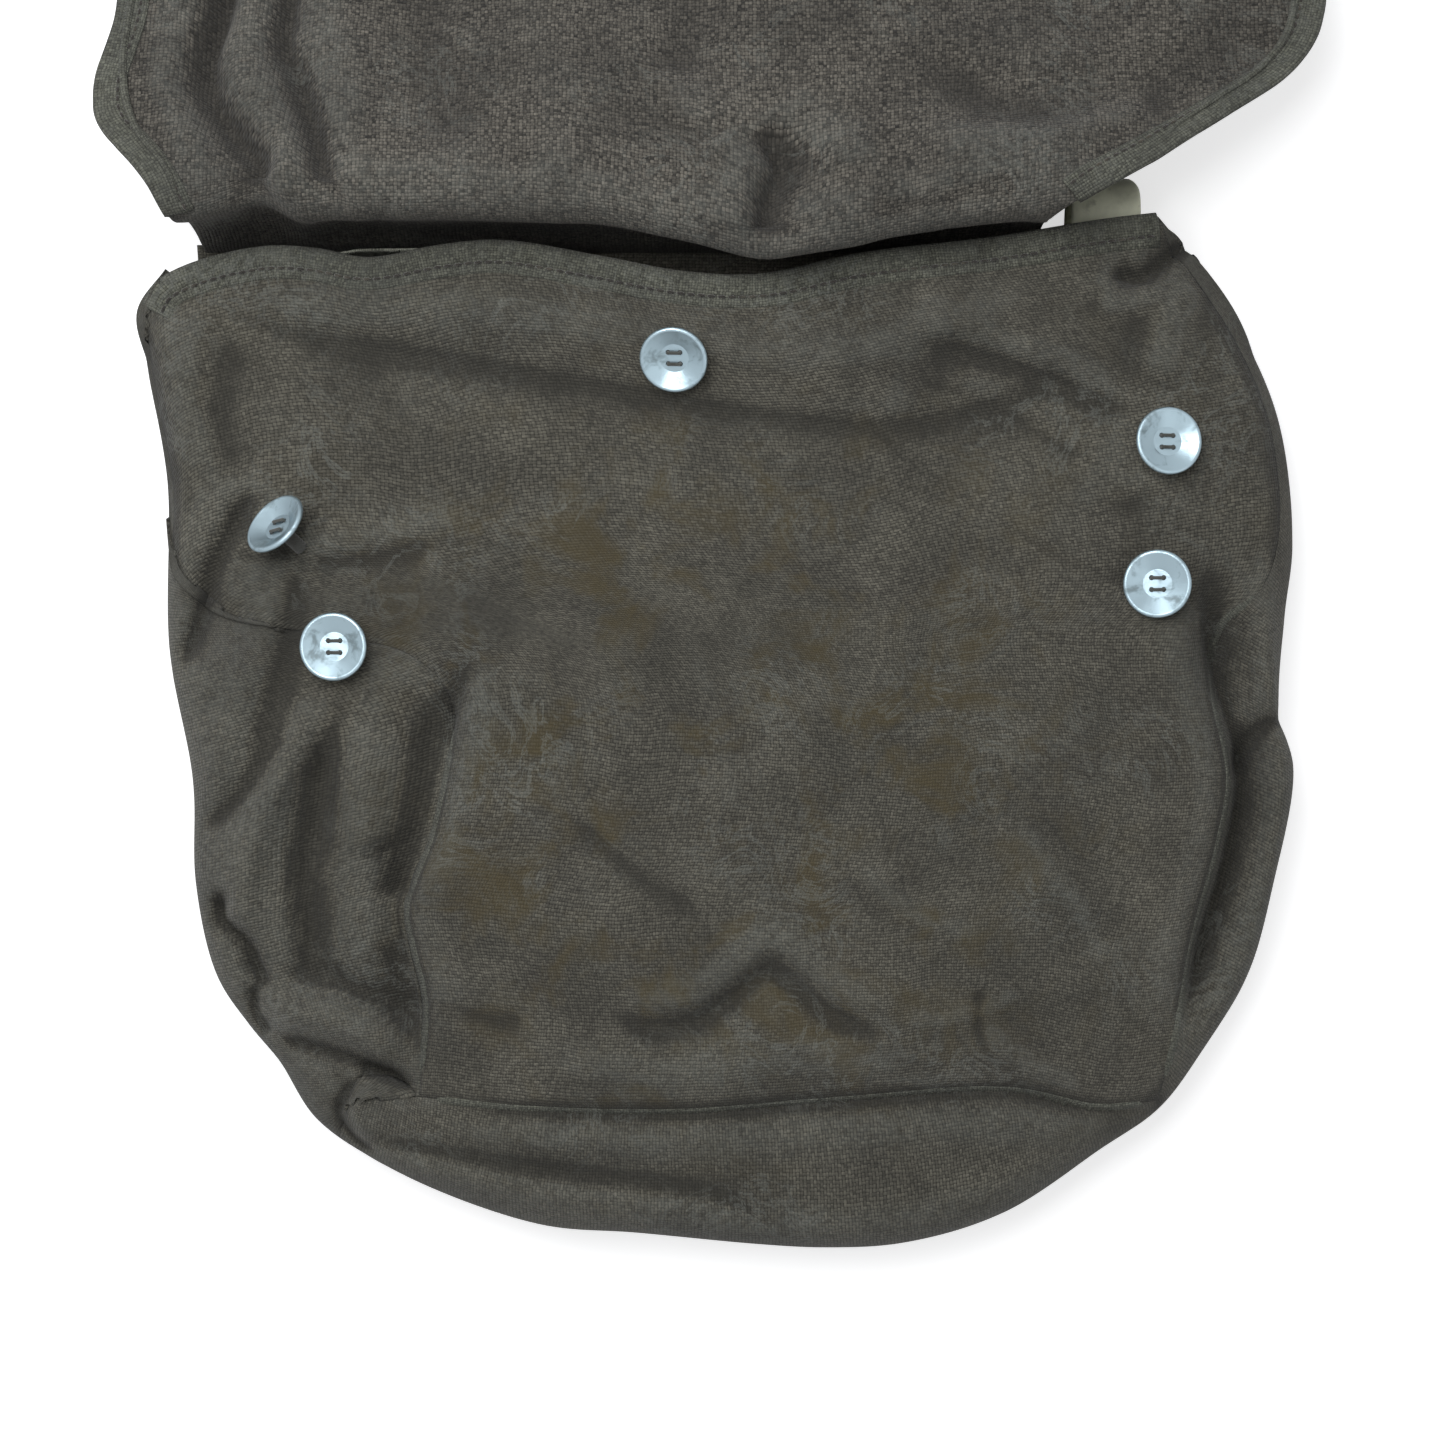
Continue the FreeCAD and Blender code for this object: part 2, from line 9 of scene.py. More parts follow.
import bmesh
import bpy
import numpy as np
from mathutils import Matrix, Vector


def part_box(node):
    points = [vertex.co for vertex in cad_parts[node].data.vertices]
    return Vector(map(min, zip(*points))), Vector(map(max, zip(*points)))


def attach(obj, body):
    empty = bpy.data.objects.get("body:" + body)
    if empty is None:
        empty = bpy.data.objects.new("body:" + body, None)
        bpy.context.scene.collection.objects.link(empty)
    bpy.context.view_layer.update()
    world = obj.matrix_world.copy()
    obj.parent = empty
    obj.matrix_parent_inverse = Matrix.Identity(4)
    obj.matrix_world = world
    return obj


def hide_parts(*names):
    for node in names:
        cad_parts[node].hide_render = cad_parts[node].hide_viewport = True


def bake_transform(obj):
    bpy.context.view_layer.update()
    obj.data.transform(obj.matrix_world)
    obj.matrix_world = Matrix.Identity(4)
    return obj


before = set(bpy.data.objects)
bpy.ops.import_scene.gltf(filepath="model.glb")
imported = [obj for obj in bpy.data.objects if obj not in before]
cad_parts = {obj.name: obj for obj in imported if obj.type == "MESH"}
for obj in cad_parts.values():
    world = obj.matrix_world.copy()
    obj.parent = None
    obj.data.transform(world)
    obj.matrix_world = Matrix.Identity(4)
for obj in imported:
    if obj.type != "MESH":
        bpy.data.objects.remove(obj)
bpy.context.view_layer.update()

bl_info = {
    "name": "Mail Sack",
    "version": (1, 0, 0),
    "blender": (4, 5, 0),
    "location": "3D View > Sidebar > Mail Sack",
    "description": "Builds the cloth, leather and metal surfaces of an open canvas mail sack",
    "category": "Object",
}

MM = 0.001
HEM_FACING = 7.5                                     # the front panel stops this far under its hem
HEM_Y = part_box("front_panel")[1][1] + HEM_FACING * MM
CROWN_TOP = 58.0                                     # highest point of the front panel
CROWN_Y = -150.0
CROWN_RADIUS = 1150.0

# The bag's outline, from the mouth's left corner round the bottom to its right corner
OUTLINE = [
    (-184, 0), (-194, -14), (-192, -32), (-185, -70), (-184, -128), (-176, -171), (-175, -206),
    (-168, -237),
    (-157, -254), (-147, -266), (-134, -286), (-106, -304), (-60, -321), (-26, -324), (36, -329),
    (66, -327),
    (98, -317), (130, -296), (150, -282), (165, -262), (180, -237), (188, -207), (195, -168), (190, -148),
    (192, -117), (195, -92), (191, -52), (180, -24), (165, -2), (156, 8),
]
HEM = [
    (-191, -13), (-187, -6), (-176, 0), (-150, 5.5), (-133, 4.5), (-115, 1), (-91, 5), (-71, 6.5),
    (-38, 1), (-12, -4),
    (15, -5), (48, 2), (94, 8), (127, 14), (148, 17),
]
LEFT_EDGE = [
    (-191, -13), (-189, -33), (-181, -74), (-180, -102), (-165, -116), (-130, -123), (-100, -130),
    (-87, -145),
    (-88, -162), (-94, -190), (-102, -213), (-100, -226), (-96, -245), (-98, -276),
]
LEFT_CORNER = [(-98, -276), (-108, -271), (-118, -270)]
RIGHT_EDGE = [
    (148, 17), (153, 7), (161, -5), (176, -28), (186, -54), (188, -90), (181, -108), (169, -120),
    (166, -142),
    (171, -170), (168, -190), (160, -222), (154, -252), (148, -278),
]
BOTTOM_SEAM = [(-98, -276), (-64, -280), (-12, -281), (41, -277), (97, -274), (128, -280), (148, -278)]

# Folds of the bag's front and gussets: route, height, width to the left and right of the route, sharpness
BAG_FOLDS = [
    ([(-170, -10), (-120, -14), (-60, -18), (-10, -27), (35, -31), (80, -20), (122, 2)], 5.5, 16, 7, 1.6),
    ([(-172, -6), (-154, -18), (-120, -27), (-85, -33), (-40, -41), (10, -50), (60, -54),
      (108, -42), (138, -20)],
     -5.0, 5, 22, 1.5),
    ([(-173, -8), (-176, -38), (-170, -70)], 3.0, 4, 9, 1.6),
    ([(-162, -20), (-164, -50), (-158, -76)], -3.0, 12, 5, 1.6),
    ([(58, -18), (98, -27), (136, -46)], 3.4, 13, 5, 1.6),
    ([(60, -36), (100, -52), (128, -70)], -2.6, 6, 14, 1.6),
    ([(160, 10), (151, 2), (142, -4), (130, -2)], -10.0, 3, 5, 1.4),
    ([(150, -4), (140, -12), (126, -12)], 3.0, 4, 5, 1.6),
    ([(62, -25), (100, -34), (120, -41), (142, -52)], -4.2, 3, 10, 1.5),
    ([(162, -4), (152, -18), (148, -40)], 4.0, 6, 6, 1.8),
    ([(136, -72), (140, -90), (137, -112)], -2.6, 12, 12, 2.0),
    ([(164, -96), (166, -130), (176, -166), (172, -196), (163, -226), (156, -262)], -19.0, 10, 4, 1.5),
    ([(152, -88), (155, -130), (163, -167), (160, -195), (151, -226), (144, -266)], 3.4, 4, 13, 1.8),
    ([(184, -88), (183, -125), (189, -160), (186, -200), (177, -238)], 6.0, 7, 5, 1.8),
    ([(197, -150), (184, -154), (173, -172)], -8.0, 3, 4, 1.5),
    ([(-80, -128), (-90, -160), (-97, -190), (-105, -211), (-104, -226), (-100, -246), (-101, -274)],
     -15.0, 3.2, 13, 1.5),
    ([(-76, -124), (-81, -162), (-87, -190), (-96, -213), (-94, -226), (-90, -245),
      (-91, -272)], 3.0, 14, 3.5, 1.8),
    ([(-110, -188), (-106, -200), (-102, -211)], -7.0, 4, 7, 1.5),
    ([(-118, -152), (-116, -178), (-112, -201), (-112, -224), (-110, -238)], 6.0, 8, 9, 1.8),
    ([(-128, -142), (-136, -156), (-149, -184), (-155, -207), (-152, -221),
      (-145, -230)], 9.0, 4.5, 9, 1.7),
    ([(-127, -150), (-131, -163), (-134, -184), (-138, -203), (-137, -218), (-137, -233), (-146, -242)],
     -13.0, 11, 3.2, 1.6),
    ([(-138, -150), (-147, -163), (-155, -174), (-164, -183), (-174, -189)], -5.0, 4, 5, 1.5),
    ([(-143, -104), (-157, -143), (-164, -167), (-171, -186)], 4.0, 7, 7, 1.8),
    ([(-152, -72), (-160, -86), (-166, -98), (-170, -112), (-175, -127), (-181, -138)], -9.5, 6, 4, 1.5),
    ([(-138, -96), (-140, -113), (-146, -146), (-152, -166)], -3.4, 7, 4, 1.6),
    ([(-163, -204), (-164, -217), (-156, -225), (-153, -233), (-147, -243)], -13.0, 2.6, 3.0, 1.4),
    ([(-154, -238), (-153, -249), (-147, -257)], -9.0, 2.4, 2.6, 1.4),
    ([(-150, -247), (-126, -250), (-112, -256), (-99, -263)], 7.5, 6, 6, 1.8),
    ([(-140, -235), (-123, -240), (-107, -248), (-98, -256)], -8.0, 7, 3, 1.6),
    ([(-148, -256), (-129, -261), (-112, -267), (-99, -275)], -8.0, 2.6, 4, 1.4),
    ([(-120, -267), (-108, -269), (-98, -276)], -8.0, 2.4, 2.4, 1.3),
    ([(-117, -268), (-125, -281), (-121, -290), (-111, -297)], -6.0, 2.0, 3.0, 1.3),
    ([(-112, -272), (-119, -282), (-113, -291)], 3.4, 5, 2.5, 1.6),
    ([(-154, -78), (-137, -93), (-110, -91), (-78, -84)], 2.8, 8, 3.5, 1.6),
    ([(-137, -98), (-118, -98), (-92, -94)], -2.2, 3, 8, 1.6),
    ([(-137, -92), (-150, -97), (-160, -96)], -3.0, 4, 4, 1.6),
    ([(-96, -244), (-78, -248), (-60, -250)], -2.4, 2.2, 8, 1.3),
    ([(-34, -240), (-18, -245), (-4, -241), (8, -232), (18, -225), (30, -231), (44, -242), (64, -249)],
     4.2, 11, 3.2, 1.5),
    ([(-38, -247), (-20, -252), (-7, -250), (5, -242), (17, -234), (25, -237), (38, -248), (60, -257)],
     -4.2, 2.6, 6, 1.3),
    ([(60, -252), (86, -248), (104, -240)], 2.4, 5, 2.6, 1.4),
    ([(84, -250), (100, -263), (124, -275)], 3.0, 6, 3, 1.5),
    ([(88, -238), (87, -250), (90, -262)], -2.2, 2.5, 2.5, 1.4),
    ([(-70, -256), (-20, -268), (30, -263), (80, -265)], 2.6, 10, 8, 2.0),
    ([(-12, -120), (2, -150), (6, -186)], 1.6, 4, 9, 1.6),
    ([(-50, -180), (-20, -206), (0, -214)], -1.8, 4, 9, 1.6),
    ([(44, -196), (64, -214), (92, -224)], 1.8, 8, 4, 1.6),
    ([(96, -180), (118, -210), (132, -240)], 1.8, 6, 10, 1.8),
    ([(-98, -278), (-64, -281), (-12, -282), (41, -278), (97, -275), (128, -281),
      (158, -281)], -6.5, 2.4, 3.0, 1.3),
    ([(-112, -290), (-64, -288), (-12, -289), (41, -286), (97, -284), (140, -290)], 3.0, 5, 9, 1.8),
    ([(-130, -288), (-72, -299), (-25, -305), (4, -311), (28, -324)], -4.6, 9, 3, 1.4),
    ([(-110, -296), (-70, -304), (-36, -311)], 3.0, 4, 6, 1.6),
]
# Folds of the open flap, in the same plan
FLAP_FOLDS = [
    ([(-158, 122), (-160, 104), (-163, 84), (-166, 70), (-163, 55), (-153, 41), (-147, 32),
      (-148, 20), (-137, 8)],
     -13.0, 3.2, 11, 1.5),
    ([(-148, 120), (-152, 82), (-154, 66), (-148, 52), (-139, 36), (-138, 22),
      (-128, 8)], 5.0, 7, 5, 1.7),
    ([(-172, 120), (-176, 80), (-178, 58), (-170, 40), (-160, 26)], 4.5, 8, 8, 1.8),
    ([(-138, 118), (-140, 102), (-141, 82), (-141, 72), (-136, 62), (-132, 48), (-126, 28), (-120, 10)],
     -9.0, 3.4, 7, 1.5),
    ([(-126, 130), (-128, 84), (-124, 60), (-117, 34)], 3.6, 9, 5, 1.8),
    ([(14, 44), (20, 32), (16, 18), (15, 0)], -11.0, 12, 3.2, 1.5),
    ([(2, 42), (8, 26), (4, 6)], 4.0, 4.5, 12, 1.7),
    ([(-20, 48), (6, 45), (30, 41), (58, 28)], 3.6, 11, 4.5, 1.6),
    ([(-66, 120), (-58, 80), (-52, 44), (-48, 12)], 2.8, 14, 9, 2.0),
    ([(-96, 110), (-92, 70), (-84, 30)], -3.0, 12, 12, 2.0),
    ([(-18, 110), (-10, 80), (-16, 56)], -2.8, 12, 12, 2.0),
    ([(56, 66), (100, 50), (150, 60), (190, 84)], -4.0, 13, 12, 2.0),
    ([(70, 34), (110, 38), (146, 54)], 3.4, 8, 7, 1.8),
    ([(44, 12), (76, 18), (104, 26)], -3.0, 5, 8, 1.7),
    ([(110, 140), (136, 104), (176, 92)], 3.0, 16, 12, 2.0),
    ([(40, 150), (52, 110), (60, 84)], 2.8, 14, 12, 2.0),
    ([(-40, 190), (20, 176), (90, 186)], 2.0, 16, 12, 2.0),
]
# The flap's path in y and z: up from the mouth seam, over the crease and down to the free edge
FLAP_PATH = [
    (9.2, 1.0), (11.5, 12), (14.0, 26), (14.6, 40), (12.6, 52), (9.6, 61), (9.6, 68), (13.5, 74),
    (20.5, 76.6),
    (29, 74), (50, 63.5), (82, 47), (115, 30.5), (145, 16), (163, 6.5), (171, 1.7),
]
CREASE_ALONG = 78.0          # distance along that path to the crease
# How far the crease bows from the path, by x
CREASE_BOW = [
    (-182, 2), (-172, 2), (-150, 5), (-131, 3), (-90, 3.5), (-37, 0.5), (-8, -6), (15, -12.5),
    (60, -4.5), (112, 6),
]
# The flap's edges and the ridge of its piping: distance past the crease, x
FLAP_LEFT = [
    (-80, -175), (-14, -176), (-2, -179), (10, -184), (21, -193), (33, -202), (50, -203),
    (76, -197), (200, -198),
]
FLAP_RIGHT = [
    (-80, 109), (-14, 110), (-6, 114), (0, 123), (9, 138), (24, 157), (36, 172), (50, 188),
    (66, 198), (84, 202),
    (200, 199),
]
PIPING_LEFT = [(0, -173), (14, -178), (24, -187), (38, -192.5), (56, -195), (74, -194), (110, -191),
    (130, -190)]
PIPING_RIGHT = [(22, 146), (36, 162), (50, 178), (66, 189), (84, 193), (110, 191), (130, 190)]
FLAP_REACH = 178.0
FREE_CORNER = 46.0
STAIN_CENTRE = (0.0, HEM_Y - 0.165, 0.03)
CLOTH_SHEEN = 0.08
PUSH_LIMIT = 2.6              # the flap's ridges stay this low, to clear the buttons when it is closed


# ---- Shape functions --------------------------------------------------------------------------
def ease(t):
    """A smooth step: 3 t squared minus 2 t cubed, held at 0 and 1 outside that range."""
    t = np.clip(t, 0.0, 1.0)
    return t * t * (3 - 2 * t)


def spline(points, count):
    """A cubic Hermite curve through the points, with centripetal spacing and each slope taken from
    the neighbours on both sides, read at even steps of length."""
    p = np.asarray(points, float)
    knots = np.concatenate([[0], np.cumsum(np.linalg.norm(np.diff(p, axis=0), axis=1) ** 0.5)])
    slope = np.gradient(p, knots, axis=0)
    t = np.linspace(0, knots[-1], 60 * len(p))
    i = np.clip(np.searchsorted(knots, t, side="right") - 1, 0, len(knots) - 2)
    span = (knots[i + 1] - knots[i])[:, None]
    s = (t - knots[i])[:, None] / span
    dense = (2 * s**3 - 3 * s**2 + 1) * p[i] + (s**3 - 2 * s**2 + s) * span * slope[i]
    dense += (3 * s**2 - 2 * s**3) * p[i + 1] + (s**3 - s**2) * span * slope[i + 1]
    walked = np.concatenate([[0], np.cumsum(np.linalg.norm(np.diff(dense, axis=0), axis=1))])
    even = np.linspace(0, walked[-1], count)
    return np.stack([np.interp(even, walked, dense[:, k]) for k in range(p.shape[1])], axis=1)


def level_curve(table, at, window=6.0):
    """The table's straight runs read at a value and averaged over a window round it, which rounds
    the corners."""
    knots = np.asarray(table, float)
    shifts = np.linspace(-window, window, 7)
    return sum(np.interp(at + shift, knots[:, 0], knots[:, 1]) for shift in shifts) / len(shifts)


def lattice_noise(x, y, size, seed):
    """Value noise from -1 to 1: seeded random values on a square lattice turned by the seed, joined by
    quintic steps."""
    table = np.random.default_rng(seed).uniform(-1, 1, (97, 97))
    turn = 0.7 + seed
    gx = (x * math.cos(turn) - y * math.sin(turn)) / size
    gy = (x * math.sin(turn) + y * math.cos(turn)) / size
    ix, iy = np.floor(gx).astype(int), np.floor(gy).astype(int)
    fx, fy = gx - ix, gy - iy
    fx, fy = fx**3 * (fx * (fx * 6 - 15) + 10), fy**3 * (fy * (fy * 6 - 15) + 10)
    ix, iy, jx, jy = ix % 97, iy % 97, (ix + 1) % 97, (iy + 1) % 97
    low = table[ix, iy] * (1 - fx) + table[jx, iy] * fx
    high = table[ix, jy] * (1 - fx) + table[jx, jy] * fx
    return low * (1 - fy) + high * fy


def rumple(x, y, seed):
    """The cloth's small unevenness: three sizes of value noise, and thin creases where a fourth crosses 0."""
    crease = (1 - np.abs(lattice_noise(x, y, 46, seed + 3))) ** 9
    fade = 0.5 + 0.5 * lattice_noise(x, y, 90, seed + 4)
    soft = 1.1 * lattice_noise(x, y, 58, seed) + 0.55 * lattice_noise(x, y, 27, seed + 1)
    return soft + 0.16 * lattice_noise(x, y, 11, seed + 2) - 0.9 * crease * fade


def fold_field(x, y, folds):
    """The sum of the folds. Across its route, a fold is its height times e to minus (distance over
    width) to the power of its sharpness, with a width for each side. It eases out at both ends."""
    total = np.zeros_like(x)
    for route, height, left, right, sharp in folds:
        line = spline(route, 120)
        heading = np.gradient(line, axis=0)
        heading /= np.linalg.norm(heading, axis=1)[:, None]
        reach = 3 * max(left, right)
        low, high = line.min(axis=0) - reach, line.max(axis=0) + reach
        near = (x > low[0]) & (x < high[0]) & (y > low[1]) & (y < high[1])
        if not near.any():
            continue
        dx, dy = x[near][:, None] - line[:, 0], y[near][:, None] - line[:, 1]
        nearest = np.argmin(dx * dx + dy * dy, axis=1)
        pick = np.arange(len(nearest))
        dx, dy = dx[pick, nearest], dy[pick, nearest]
        side = heading[nearest, 0] * dy - heading[nearest, 1] * dx
        past = heading[nearest, 0] * dx + heading[nearest, 1] * dy
        distance = np.hypot(side, past)
        along = nearest / (len(line) - 1)
        ends = ease(along / 0.22 + 0.02) * ease((1 - along) / 0.22 + 0.02)
        width = np.where(side > 0, left, right)
        total[near] += height * ends * np.exp(-((distance / width) ** sharp))
    return total


OUTLINE_COUNT = 900
OUTLINE_LINE = spline(OUTLINE, OUTLINE_COUNT)


def inside_distance(x, y):
    """Distance from each point to the bag's outline: to the straight run at the nearest of its samples."""
    line = OUTLINE_LINE[::3]
    heading = np.gradient(line, axis=0)
    heading /= np.linalg.norm(heading, axis=1)[:, None]
    spacing = np.linalg.norm(line[1] - line[0])
    flat = np.stack([x.ravel(), y.ravel()], axis=1)
    parts = []
    for c in np.array_split(flat, max(1, len(flat) // 8000)):
        nearest = np.argmin(np.hypot(c[:, :1] - line[:, 0], c[:, 1:] - line[:, 1]), axis=1)
        dx, dy = (c - line[nearest]).T
        hx, hy = heading[nearest].T
        parts.append(np.hypot(hx * dy - hy * dx, np.maximum(np.abs(hx * dx + hy * dy) - spacing, 0)))
    return np.concatenate(parts).reshape(x.shape)


def crown(x, y):
    """Height of the slack bag's front: a shallow sphere with the cloth's folds and unevenness on it."""
    sphere = CROWN_TOP - (x * x + (y - CROWN_Y) ** 2) / (2 * CROWN_RADIUS)
    return sphere + fold_field(x, y, BAG_FOLDS) + 0.8 * rumple(x, y, 11)


def skin(x, y):
    """The bag's upper side. Within the roll's width of the outline it turns down as a quarter of a rounded
    curve, to half its height at the outline, except near the mouth, where the cloth's edge stands free."""
    roll = bpy.context.scene.sack_sizes.roll / MM
    share = np.clip(1 - inside_distance(x, y) / roll, 0, 1) * ease((12 - y) / 42)
    turn = np.arcsin(share ** 1.5)
    return crown(x, y) * (1 + np.cos(turn)) / 2


def flap_edge(table, past):
    """x of an edge of the flap at a distance past the crease, rounded off as a quarter circle at the
    free edge."""
    x = level_curve(table, past)
    into = np.clip(past - (FLAP_REACH - FREE_CORNER), 0, FREE_CORNER)
    return x - np.sign(x) * (FREE_CORNER - np.sqrt(FREE_CORNER**2 - into**2))


def flap_surface(x, along):
    """A point of the flap's cloth and its normal, for x and the length walked from the mouth seam. The
    path in y and z is moved by the crease's bow, sinks a little towards both sides, and the folds and the
    unevenness push it out along its normal."""
    path = spline(FLAP_PATH, 600)
    walked = np.concatenate([[0], np.cumsum(np.linalg.norm(np.diff(path, axis=0), axis=1))])
    walked *= (CREASE_ALONG + FLAP_REACH) / walked[-1]
    heading = np.gradient(path, walked, axis=0)
    y, z = np.interp(along, walked, path[:, 0]), np.interp(along, walked, path[:, 1])
    hy, hz = np.interp(along, walked, heading[:, 0]), np.interp(along, walked, heading[:, 1])
    past = along - CREASE_ALONG
    near = ease((along - 44) / (CREASE_ALONG - 50)) * (1 - ease(past / 90))
    y = y + level_curve(CREASE_BOW, x) * near
    side = np.clip(np.abs(x + 32) / 190, 0, 1.2) ** 4
    z = z * (1 - 0.10 * side * near)
    size = np.hypot(hy, hz)
    ny, nz = -hz / size, hy / size
    free = ease((FLAP_REACH - past) / 60)
    push = (fold_field(x, y, FLAP_FOLDS) * (0.25 + 0.75 * ease(along / 50)) * (0.3 + 0.7 * free)
            + 0.9 * rumple(x, along, 31) * ease(along / 20) * (0.35 + 0.65 * free))
    push = np.where(push > 0, PUSH_LIMIT * np.tanh(push / PUSH_LIMIT), push)
    points = np.stack([x, y + ny * push, np.maximum(z + nz * push, 1.3)], axis=-1)
    return points, np.stack([np.zeros_like(x), ny, nz], axis=-1)


# ---- Meshes -------------------------------------------------------------------------------------
def put(points):
    """Millimetres in the bag's plan to metres in the model's frame."""
    return np.asarray(points, float) * MM + np.array([0.0, HEM_Y, 0.0])


def along_grid(points):
    """Cloth coordinates in metres: mean lengths walked along the grid's rows and columns."""
    across = np.linalg.norm(np.diff(points, axis=1), axis=2).mean(axis=0)
    down = np.linalg.norm(np.diff(points, axis=0), axis=2).mean(axis=1)
    u = np.concatenate([[0], np.cumsum(across)]) * MM
    v = np.concatenate([[0], np.cumsum(down)]) * MM
    return np.stack(np.broadcast_arrays(u[None, :], v[:, None]), axis=2)


# The crest value is the mask for the cloth's painted shade in hollows and for its paler crests, which are
# wear and painted highlight
def crest(points):
    """How far each grid point stands above the mean of its neighbours, at two distances, from -1 to 1."""
    total = 0
    for step, gain in ((3, 0.9), (8, 0.28)):
        z = np.pad(points[..., 2], step, mode="reflect" if min(points.shape[:2]) > step else "edge")
        mid = slice(step, -step)
        around = (z[:-2 * step, mid] + z[2 * step:, mid] + z[mid, :-2 * step] + z[mid, 2 * step:]) / 4
        total = total + gain * (points[..., 2] - around)
    return np.clip(total, -1, 1)


def mesh_of(verts, faces, uvs, high):
    """A smooth mesh of quads with cloth coordinates and the crest value in an attribute."""
    mesh = bpy.data.meshes.new("piece")
    mesh.vertices.add(len(verts))
    mesh.vertices.foreach_set("co", put(verts).ravel())
    mesh.loops.add(faces.size)
    mesh.loops.foreach_set("vertex_index", faces.ravel())
    mesh.polygons.add(len(faces))
    mesh.polygons.foreach_set("loop_start", np.arange(0, faces.size, 4))
    mesh.polygons.foreach_set("use_smooth", np.ones(len(faces), bool))
    mesh.update(calc_edges=True)
    mesh.uv_layers.new(name="cloth").data.foreach_set("uv", uvs[faces.ravel()].ravel())
    mesh.attributes.new("crest", "FLOAT", "POINT").data.foreach_set("value", high)
    return mesh


def grid_mesh(grids, closed=False):
    """A mesh of one or more grids of points (rows, columns, 3), each with cloth coordinates or None. A
    closed grid joins its last column to its first."""
    verts, faces, uvs, high, start = [], [], [], [], 0
    for points, uv in grids:
        rows, columns = points.shape[:2]
        index = np.arange(rows * columns).reshape(rows, columns) + start
        if closed:
            index = np.concatenate([index, index[:, :1]], axis=1)
        quads = np.stack([index[:-1, :-1], index[1:, :-1], index[1:, 1:], index[:-1, 1:]], axis=2)
        verts.append(points.reshape(-1, 3))
        uvs.append((along_grid(points) if uv is None else uv).reshape(-1, 2))
        high.append(crest(points).ravel())
        faces.append(quads.reshape(-1, 4))
        start += rows * columns
    return mesh_of(np.concatenate(verts), np.concatenate(faces), np.concatenate(uvs), np.concatenate(high))


def tidy(mesh, outward_from=None, cap=False, distance=0.00003):
    """Join points that coincide, close open ends if asked, and turn the faces outward."""
    shape = bmesh.new()
    shape.from_mesh(mesh)
    bmesh.ops.remove_doubles(shape, verts=shape.verts, dist=distance)
    bmesh.ops.dissolve_degenerate(shape, edges=shape.edges, dist=distance / 3)
    if cap:
        bmesh.ops.holes_fill(shape, edges=[e for e in shape.edges if e.is_boundary], sides=0)
        bmesh.ops.recalc_face_normals(shape, faces=shape.faces)
    elif outward_from is not None:
        centre = put(outward_from)
        votes = 0
        for face in list(shape.faces)[::7]:
            away = np.array(face.calc_center_median()) - centre
            votes += face.calc_area() * (1 if away @ np.array(face.normal) > 0 else -1)
        if votes < 0:
            bmesh.ops.reverse_faces(shape, faces=shape.faces)
    shape.to_mesh(mesh)
    shape.free()


def piece(name, mesh, body, material, slot, *nodes):
    """An object for a mesh, which rides on a body, takes the material given and stands for nodes. The slot
    argument is not used.
    """
    mesh.name = name
    obj = bpy.data.objects.new(name, mesh)
    bpy.context.scene.collection.objects.link(obj)
    mesh.materials.append(material)
    if body:
        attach(obj, body)
    if nodes:
        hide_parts(*nodes)
    return obj


def thicken(obj, thickness):
    """Solidify inwards: the cloth's thickness."""
    wall = obj.modifiers.new("thickness", "SOLIDIFY")
    wall.thickness = thickness
    wall.offset = -1.0


def soften(obj):
    """One level of subdivision."""
    smooth = obj.modifiers.new("rounding", "SUBSURF")
    smooth.levels = smooth.render_levels = 1


def across(path):
    """Unit directions to the left of a path in plan."""
    heading = np.gradient(path[:, :2], axis=0)
    heading /= np.linalg.norm(heading, axis=1)[:, None]
    return np.stack([-heading[:, 1], heading[:, 0]], axis=1)


def tube(path, radius, sides):
    """A round bar: circles carried along the last-but-one axis of the path."""
    heading = np.gradient(path, axis=-2)
    heading /= np.linalg.norm(heading, axis=-1)[..., None]
    up = np.zeros_like(path)
    up[..., 2] = 1
    up -= heading * heading[..., 2:]
    up /= np.maximum(np.linalg.norm(up, axis=-1)[..., None], 1e-6)
    side = np.cross(heading, up)
    angle = np.linspace(0, 2 * np.pi, sides, endpoint=False)[:, None]
    radius = np.asarray(radius, float)[..., None, None]
    spoke = np.cos(angle) * side[..., None, :] + np.sin(angle) * up[..., None, :]
    return path[..., None, :] + radius * spoke


def stitch_mesh(paths, pitch, length, width):
    """Stitches along paths that lie on the cloth: short round bars whose ends dip into it."""
    steps = np.linspace(-0.5, 0.5, 5)
    bars = []
    for path in paths:
        walked = np.concatenate([[0], np.cumsum(np.linalg.norm(np.diff(path, axis=0), axis=1))])
        at = np.arange(pitch * 0.7, walked[-1] - pitch * 0.5, pitch)[:, None] + steps * length
        bar = np.stack([np.interp(at, walked, path[:, k]) for k in range(3)], axis=-1)
        bar[..., 2] += 0.25 * width - 1.3 * width * np.abs(2 * steps) ** 3
        bars.append(bar)
    bars = np.concatenate(bars)
    rings = tube(bars, np.full(bars.shape[:2], width / 2), 6)
    count, rows, sides = rings.shape[:3]
    index = np.arange(count * rows * sides).reshape(count, rows, sides)
    index = np.concatenate([index, index[..., :1]], axis=2)
    quads = np.stack([index[:, :-1, :-1], index[:, 1:, :-1], index[:, 1:, 1:], index[:, :-1, 1:]], axis=3)
    verts = rings.reshape(-1, 3)
    mesh = mesh_of(verts, quads.reshape(-1, 4), verts[:, :2] * MM, np.zeros(len(verts)))
    tidy(mesh, cap=True, distance=0.000001)
    return mesh


